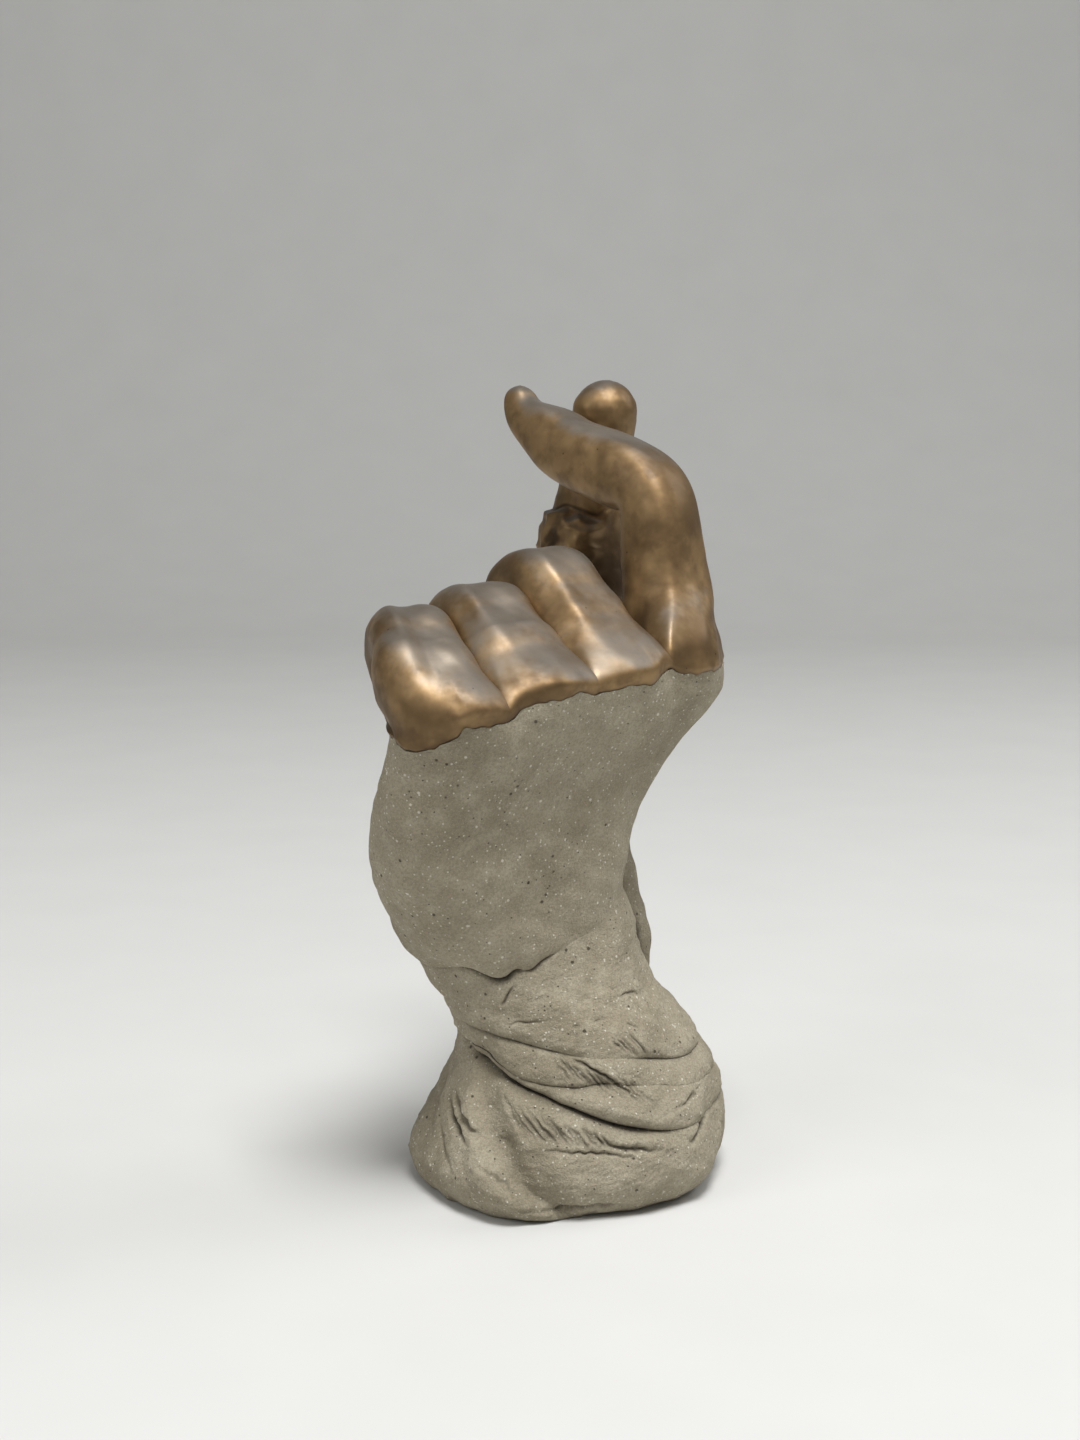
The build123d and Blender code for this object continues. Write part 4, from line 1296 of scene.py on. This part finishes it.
def finger_grid(name, others):
    """Finger: tube with its own form and lumps, smeared on to its neighbours and mixed at the root with
    its slice of the hand, row by row. The webs then cut the folded fingers flat."""
    tube, index = tubes[name], name == "index_finger"
    points, out, turn = tube_grid(tube, FINGER_COLUMNS, FINGER_SQUARE)
    shape = points.shape
    s = tube.share[:, None] * tube.length + np.zeros(FINGER_COLUMNS)
    run = s - tube.reach
    flat, out = points.reshape(-1, 3), out.reshape(-1, 3)
    relief = finger_form(name, s, turn).ravel() + 0.12 * lumps(flat, 11, 51) + 0.03 * lumps(flat, 4, 52)
    flat = flat + relief[:, None] * out
    if name == "little_finger":
        flat = within_edge(flat)
    smear = FINGER_FILL + ROOT_FILL * (1 - ramp(run.ravel(), *ROOT_FILL_RUN))
    flat, crevice = fill(flat, out, others, smear)
    flat, crevice = flat.reshape(shape), crevice.reshape(shape[:2])
    if index:
        flat = ease(flat, s)
    rise = run * np.where(run > 0, 1.0 if index else 1.1 - 0.5 * np.sin(turn), 1)
    fade = INDEX_FADE if index else FOLDED_FADE
    low = (run[:, 0] < fade[1]).sum()
    mixed = (1 - ramp(run[:low], *fade))[..., None]
    flat[:low] += mixed * (root_section(tube.place, turn, rise[:low]) - flat[:low])
    crevice[:low] *= 1 - mixed[..., 0]
    if not index:
        flat = cut_webs(flat, tube.place)
    return flat, np.maximum(crevice, EDGE_SHADE * np.exp(-np.abs(rise) / EDGE_RUN))


NEIGHBOURS = {
    "little_finger": ["ring_finger"],
    "ring_finger": ["little_finger", "middle_finger"],
    "middle_finger": ["ring_finger", "index_finger", "thumb"],
    "index_finger": ["middle_finger", "thumb"],
}
for name, others in NEIGHBOURS.items():
    make_piece(name, *finger_grid(name, others), "bronze_glaze")

# %% [markdown]
# ## Thumb
#
# The front of the thumb's joint carries a crumpled roll of clay that ends in a rim, and its tip is a
# smooth dome. Where it leans on the index finger the glaze runs together. Sculpting the roll by hand
# would also work, but folds made from the size of two sets of lumps come out the same on every run.

# %% Thumb
THUMB_SQUARE, THUMB_COLUMNS, THUMB_FILL = 2.1, 190, 2.4
ROLL_TURN, ROLL_HEIGHT, ROLL_CRUMPLE = np.radians(222), 2.3, 0.55
ROLL_FOOT, ROLL_RIM = (115, 121), (131.0, 132.6)
HOLLOW_TURN, HOLLOW_SHADE, HOLLOW_Z = np.radians(318), 0.75, (120, 13)
GAP_FILL, GAP_Z = 2.8, (115, 9)
SEAT_SWELL, SEAT_DIVE, SEAT_DROP, SEAT_SHADE = 0.4, 1.3, 2.5, 0.7


def thumb_grid():
    """Thumb: tube with a crumpled roll of clay on the front of its joint, lumps and smear with its
    neighbours. The roll rises slowly and ends in a sharp rim. A swell beside it fills the gap to the
    index finger, and at the thumb's seat the glaze swells once more before it dives into the mound."""
    points, out, turn = tube_grid(tubes["thumb"], THUMB_COLUMNS, THUMB_SQUARE)
    shape = points.shape
    turn = np.broadcast_to(turn, shape[:2]).ravel()
    flat, out = points.reshape(-1, 3), out.reshape(-1, 3)
    z = flat[:, 2]
    wavy = z + 0.8 * lumps(flat, 7, 61)
    front = ramp(np.cos(turn - ROLL_TURN), 0.0, 0.7)
    roll = front * (ramp(wavy, *ROLL_FOOT) - ramp(wavy, *ROLL_RIM))
    folds = np.abs(lumps(flat, 8, 64)) + 0.4 * np.abs(lumps(flat, 4.5, 65))
    relief = 0.14 * lumps(flat, 10, 62) + 0.04 * lumps(flat, 3, 63) - 0.2 * hill(z, 108, 8)
    relief += roll * (ROLL_HEIGHT - ROLL_CRUMPLE * folds)
    relief += GAP_FILL * ramp(np.cos(turn), 0.2, 0.9) * hill(z, *GAP_Z)
    edge = (flat - THUMB_SEAT) @ SEAT_WAY + 0.4 * lumps(flat, 6, 66) - 0.2
    relief += SEAT_SWELL * hill(edge, 0.7, 1.1) - SEAT_DIVE * (1 - ramp(edge, -0.6, 0.1))
    relief -= SEAT_DROP * ramp(-edge, 0.8, 3)
    flat, crevice = fill(flat + relief[:, None] * out, out, ["index_finger", "middle_finger"], THUMB_FILL)
    # Painted shade in the roll's deep folds and just under its rim.
    roll_shade = 0.7 * roll * ramp(folds, 1.0, 2.0) + 0.8 * front * hill(wavy, ROLL_RIM[1] + 0.4, 0.6)
    hollow = HOLLOW_SHADE * ramp(np.cos(turn - HOLLOW_TURN), 0.2, 0.9) * hill(z, *HOLLOW_Z)
    seam = SEAT_SHADE * np.exp(-np.abs(edge) / 0.9)
    crevice = np.max([crevice, roll_shade, hollow, seam], axis=0)
    return flat.reshape(shape), crevice.reshape(shape[:2])


make_piece("thumb", *thumb_grid(), "bronze_glaze")

# %% [markdown]
# ## Mound
#
# The mound was pressed on to palm and cuff, which left a groove along the line where they meet. That
# line isn't drawn: it is where the distance from the plain skin is zero, so the distance is worked
# out for every point of the mound.

# %% Mound
MOUND_COLUMNS = 170
GROOVE_DEPTH, GROOVE_WIDTH, GROOVE_SHADE = 1.3, 2.0, 0.8


def skin_gap(points):
    """Distance from the plain skin, to first order: (f - 1) / |slope of f|, with f the oval's
    (|x/a|^p + |y/b|^p)^(1/p) at the level of each point."""
    level = points[:, 2]
    for _ in range(2):
        across, palmward, _ = axes(np.interp(level, LEVEL, TILT))
        x, y = (((points - middle_of(level)) * way).sum(-1) for way in (across, palmward))
        level = points[:, 2] - x * across[:, 2]
    a, b, p = through(LEVEL, BREADTH, level), through(LEVEL, DEPTH, level), np.interp(level, LEVEL, SQUARE)
    f = (np.abs(x / a) ** p + np.abs(y / b) ** p) ** (1 / p)
    slope = np.hypot(np.abs(x / a) ** (p - 1) / a, np.abs(y / b) ** (p - 1) / b) * f ** (1 - p)
    return (f - 1) / np.maximum(slope, 0.01)


def mound_grid():
    """Mound: tube with finger-pressed lumps. Along the line where it meets hand and cuff it is pressed
    in, which leaves a dark groove."""
    points, out, _ = tube_grid(tubes["thumb_mound"], MOUND_COLUMNS, THUMB_SQUARE)
    flat, out = points.reshape(-1, 3), out.reshape(-1, 3)
    gap = skin_gap(flat)
    relief = 0.3 * lumps(flat, 13, 71) + 0.12 * lumps(flat, 4, 72) - GROOVE_DEPTH * hill(gap, 0, GROOVE_WIDTH)
    flat = flat + relief[:, None] * out
    return flat.reshape(points.shape), GROOVE_SHADE * hill(gap, 0.3, 1.3).reshape(points.shape[:2])


make_piece("thumb_mound", *mound_grid(), "bare_stoneware")

# %% [markdown]
# ## Base slab
#
# The slab under the wrist is seen only from below. Its shape in the solid model is right, so it
# stays and only takes the clay finish.

# %% Base slab
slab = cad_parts["base_slab"]
for slot in slab.material_slots:
    slot.material = FINISHES["bare_stoneware"]
print("base slab keeps its solid")

# %% [markdown]
# ## Studio
#
# A pale sweep of paper serves as floor and backdrop: flat, then curved up through a quarter circle.
# Light comes from a large soft lamp overhead, weaker ones at the left and behind, and the pale room.

# %% Floor
FLOOR_HALF, FLOOR_FRONT, FLOOR_BACK, SWEEP, WALL = 2.0, -2.0, 0.9, 0.5, 1.8
PAPER_TONES, FIBRE_SIZE = (tone(206, 206, 204), tone(212, 212, 210)), 40


def sweep_profile(count=24):
    """Floor line, quarter circle and wall line, as depth and height."""
    bend = np.linspace(0, np.pi / 2, count)
    y = np.r_[FLOOR_FRONT, FLOOR_BACK + SWEEP * np.sin(bend), FLOOR_BACK + SWEEP]
    z = np.r_[0.0, SWEEP * (1 - np.cos(bend)), WALL]
    return y, z


y, z = sweep_profile()
paper = bpy.data.meshes.new("backdrop")
corners = np.concatenate([np.stack([np.full_like(y, side), y, z], -1) for side in (-FLOOR_HALF, FLOOR_HALF)])
strip = np.arange(len(y) - 1)
faces = np.stack([strip, strip + len(y), strip + len(y) + 1, strip + 1], -1)
paper.from_pydata(corners.tolist(), [], faces.tolist())
paper.polygons.foreach_set("use_smooth", np.ones(len(paper.polygons), bool))
backdrop = bpy.data.objects.new("backdrop", paper)
bpy.context.scene.collection.objects.link(backdrop)
sheet = Finish("pale_paper")
fibre = sheet.noise(sheet.spots(), FIBRE_SIZE, 2)
sheet.set(Base_Color=sheet.blend(fibre, *PAPER_TONES), Roughness=0.9)
paper.materials.append(sheet.material)
backdrop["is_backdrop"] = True
print("paper has", len(paper.polygons), "faces")

# %% Lamps
AIM = (0, 0, 0.08)
LAMPS = {
    "key": ((0.12, -0.4, 1.15), 0.4, 14.5),
    "fill": ((-0.8, -0.6, 0.8), 0.6, 2.5),
    "rim": ((0.8, 0.3, 0.8), 0.5, 3),
}
ROOM_TONE, ROOM_LIGHT = (1.0, 0.99, 0.97, 1), 0.2


def lamp(name, place, aim, size, power):
    """Square area lamp at a place, turned to shine at a point."""
    light = bpy.data.lights.new(name, "AREA")
    light.size, light.energy = size, power
    made = bpy.data.objects.new(name, light)
    made.location = place
    way = Vector(aim) - Vector(place)
    made.rotation_euler = way.to_track_quat("-Z", "Y").to_euler()
    bpy.context.scene.collection.objects.link(made)


for name, (place, size, power) in LAMPS.items():
    lamp(name, place, AIM, size, power)
world = bpy.data.worlds.new("room")
world.use_nodes = True
room = world.node_tree.nodes["Background"].inputs
room["Color"].default_value = ROOM_TONE
room["Strength"].default_value = ROOM_LIGHT
bpy.context.scene.world = world
bpy.context.scene.view_settings.view_transform = "Standard"
print("lamps:", list(LAMPS))

# %% [markdown]
# ## Camera
#
# The camera stands a little above the fingertips, 42 centimetres in front, and looks down by nine
# degrees. Its lens is a short telephoto, which is what the narrowing of the cuff asks for.

# %% Camera
LENS, SENSOR, NEAR = 54.1, 36, 0.01
CAMERA_PLACE, CAMERA_TIP = (-0.0057, -0.4241, 0.1606), np.radians(81)
camera = bpy.data.objects.new("camera", bpy.data.cameras.new("camera"))
camera.data.lens, camera.data.sensor_width = LENS, SENSOR
camera.data.clip_start = NEAR
camera.location = CAMERA_PLACE
camera.rotation_euler = (CAMERA_TIP, 0, 0)
bpy.context.scene.collection.objects.link(camera)
bpy.context.scene.camera = camera
print("camera sees", round(np.degrees(camera.data.angle), 1), "degrees")

# %% [markdown] ## Sizes Bounds of the solid model and of the pieces that take the place of its nodes.
# Sizes The pieces have to fill the same space as the solids that they replace.

# %% Sizes
visual_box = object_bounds()
sizes = {"cad": [list(corner) for corner in cad_box], "visual": [list(corner) for corner in visual_box]}
print({name: [[round(x * 1000, 1) for x in corner] for corner in box] for name, box in sizes.items()})
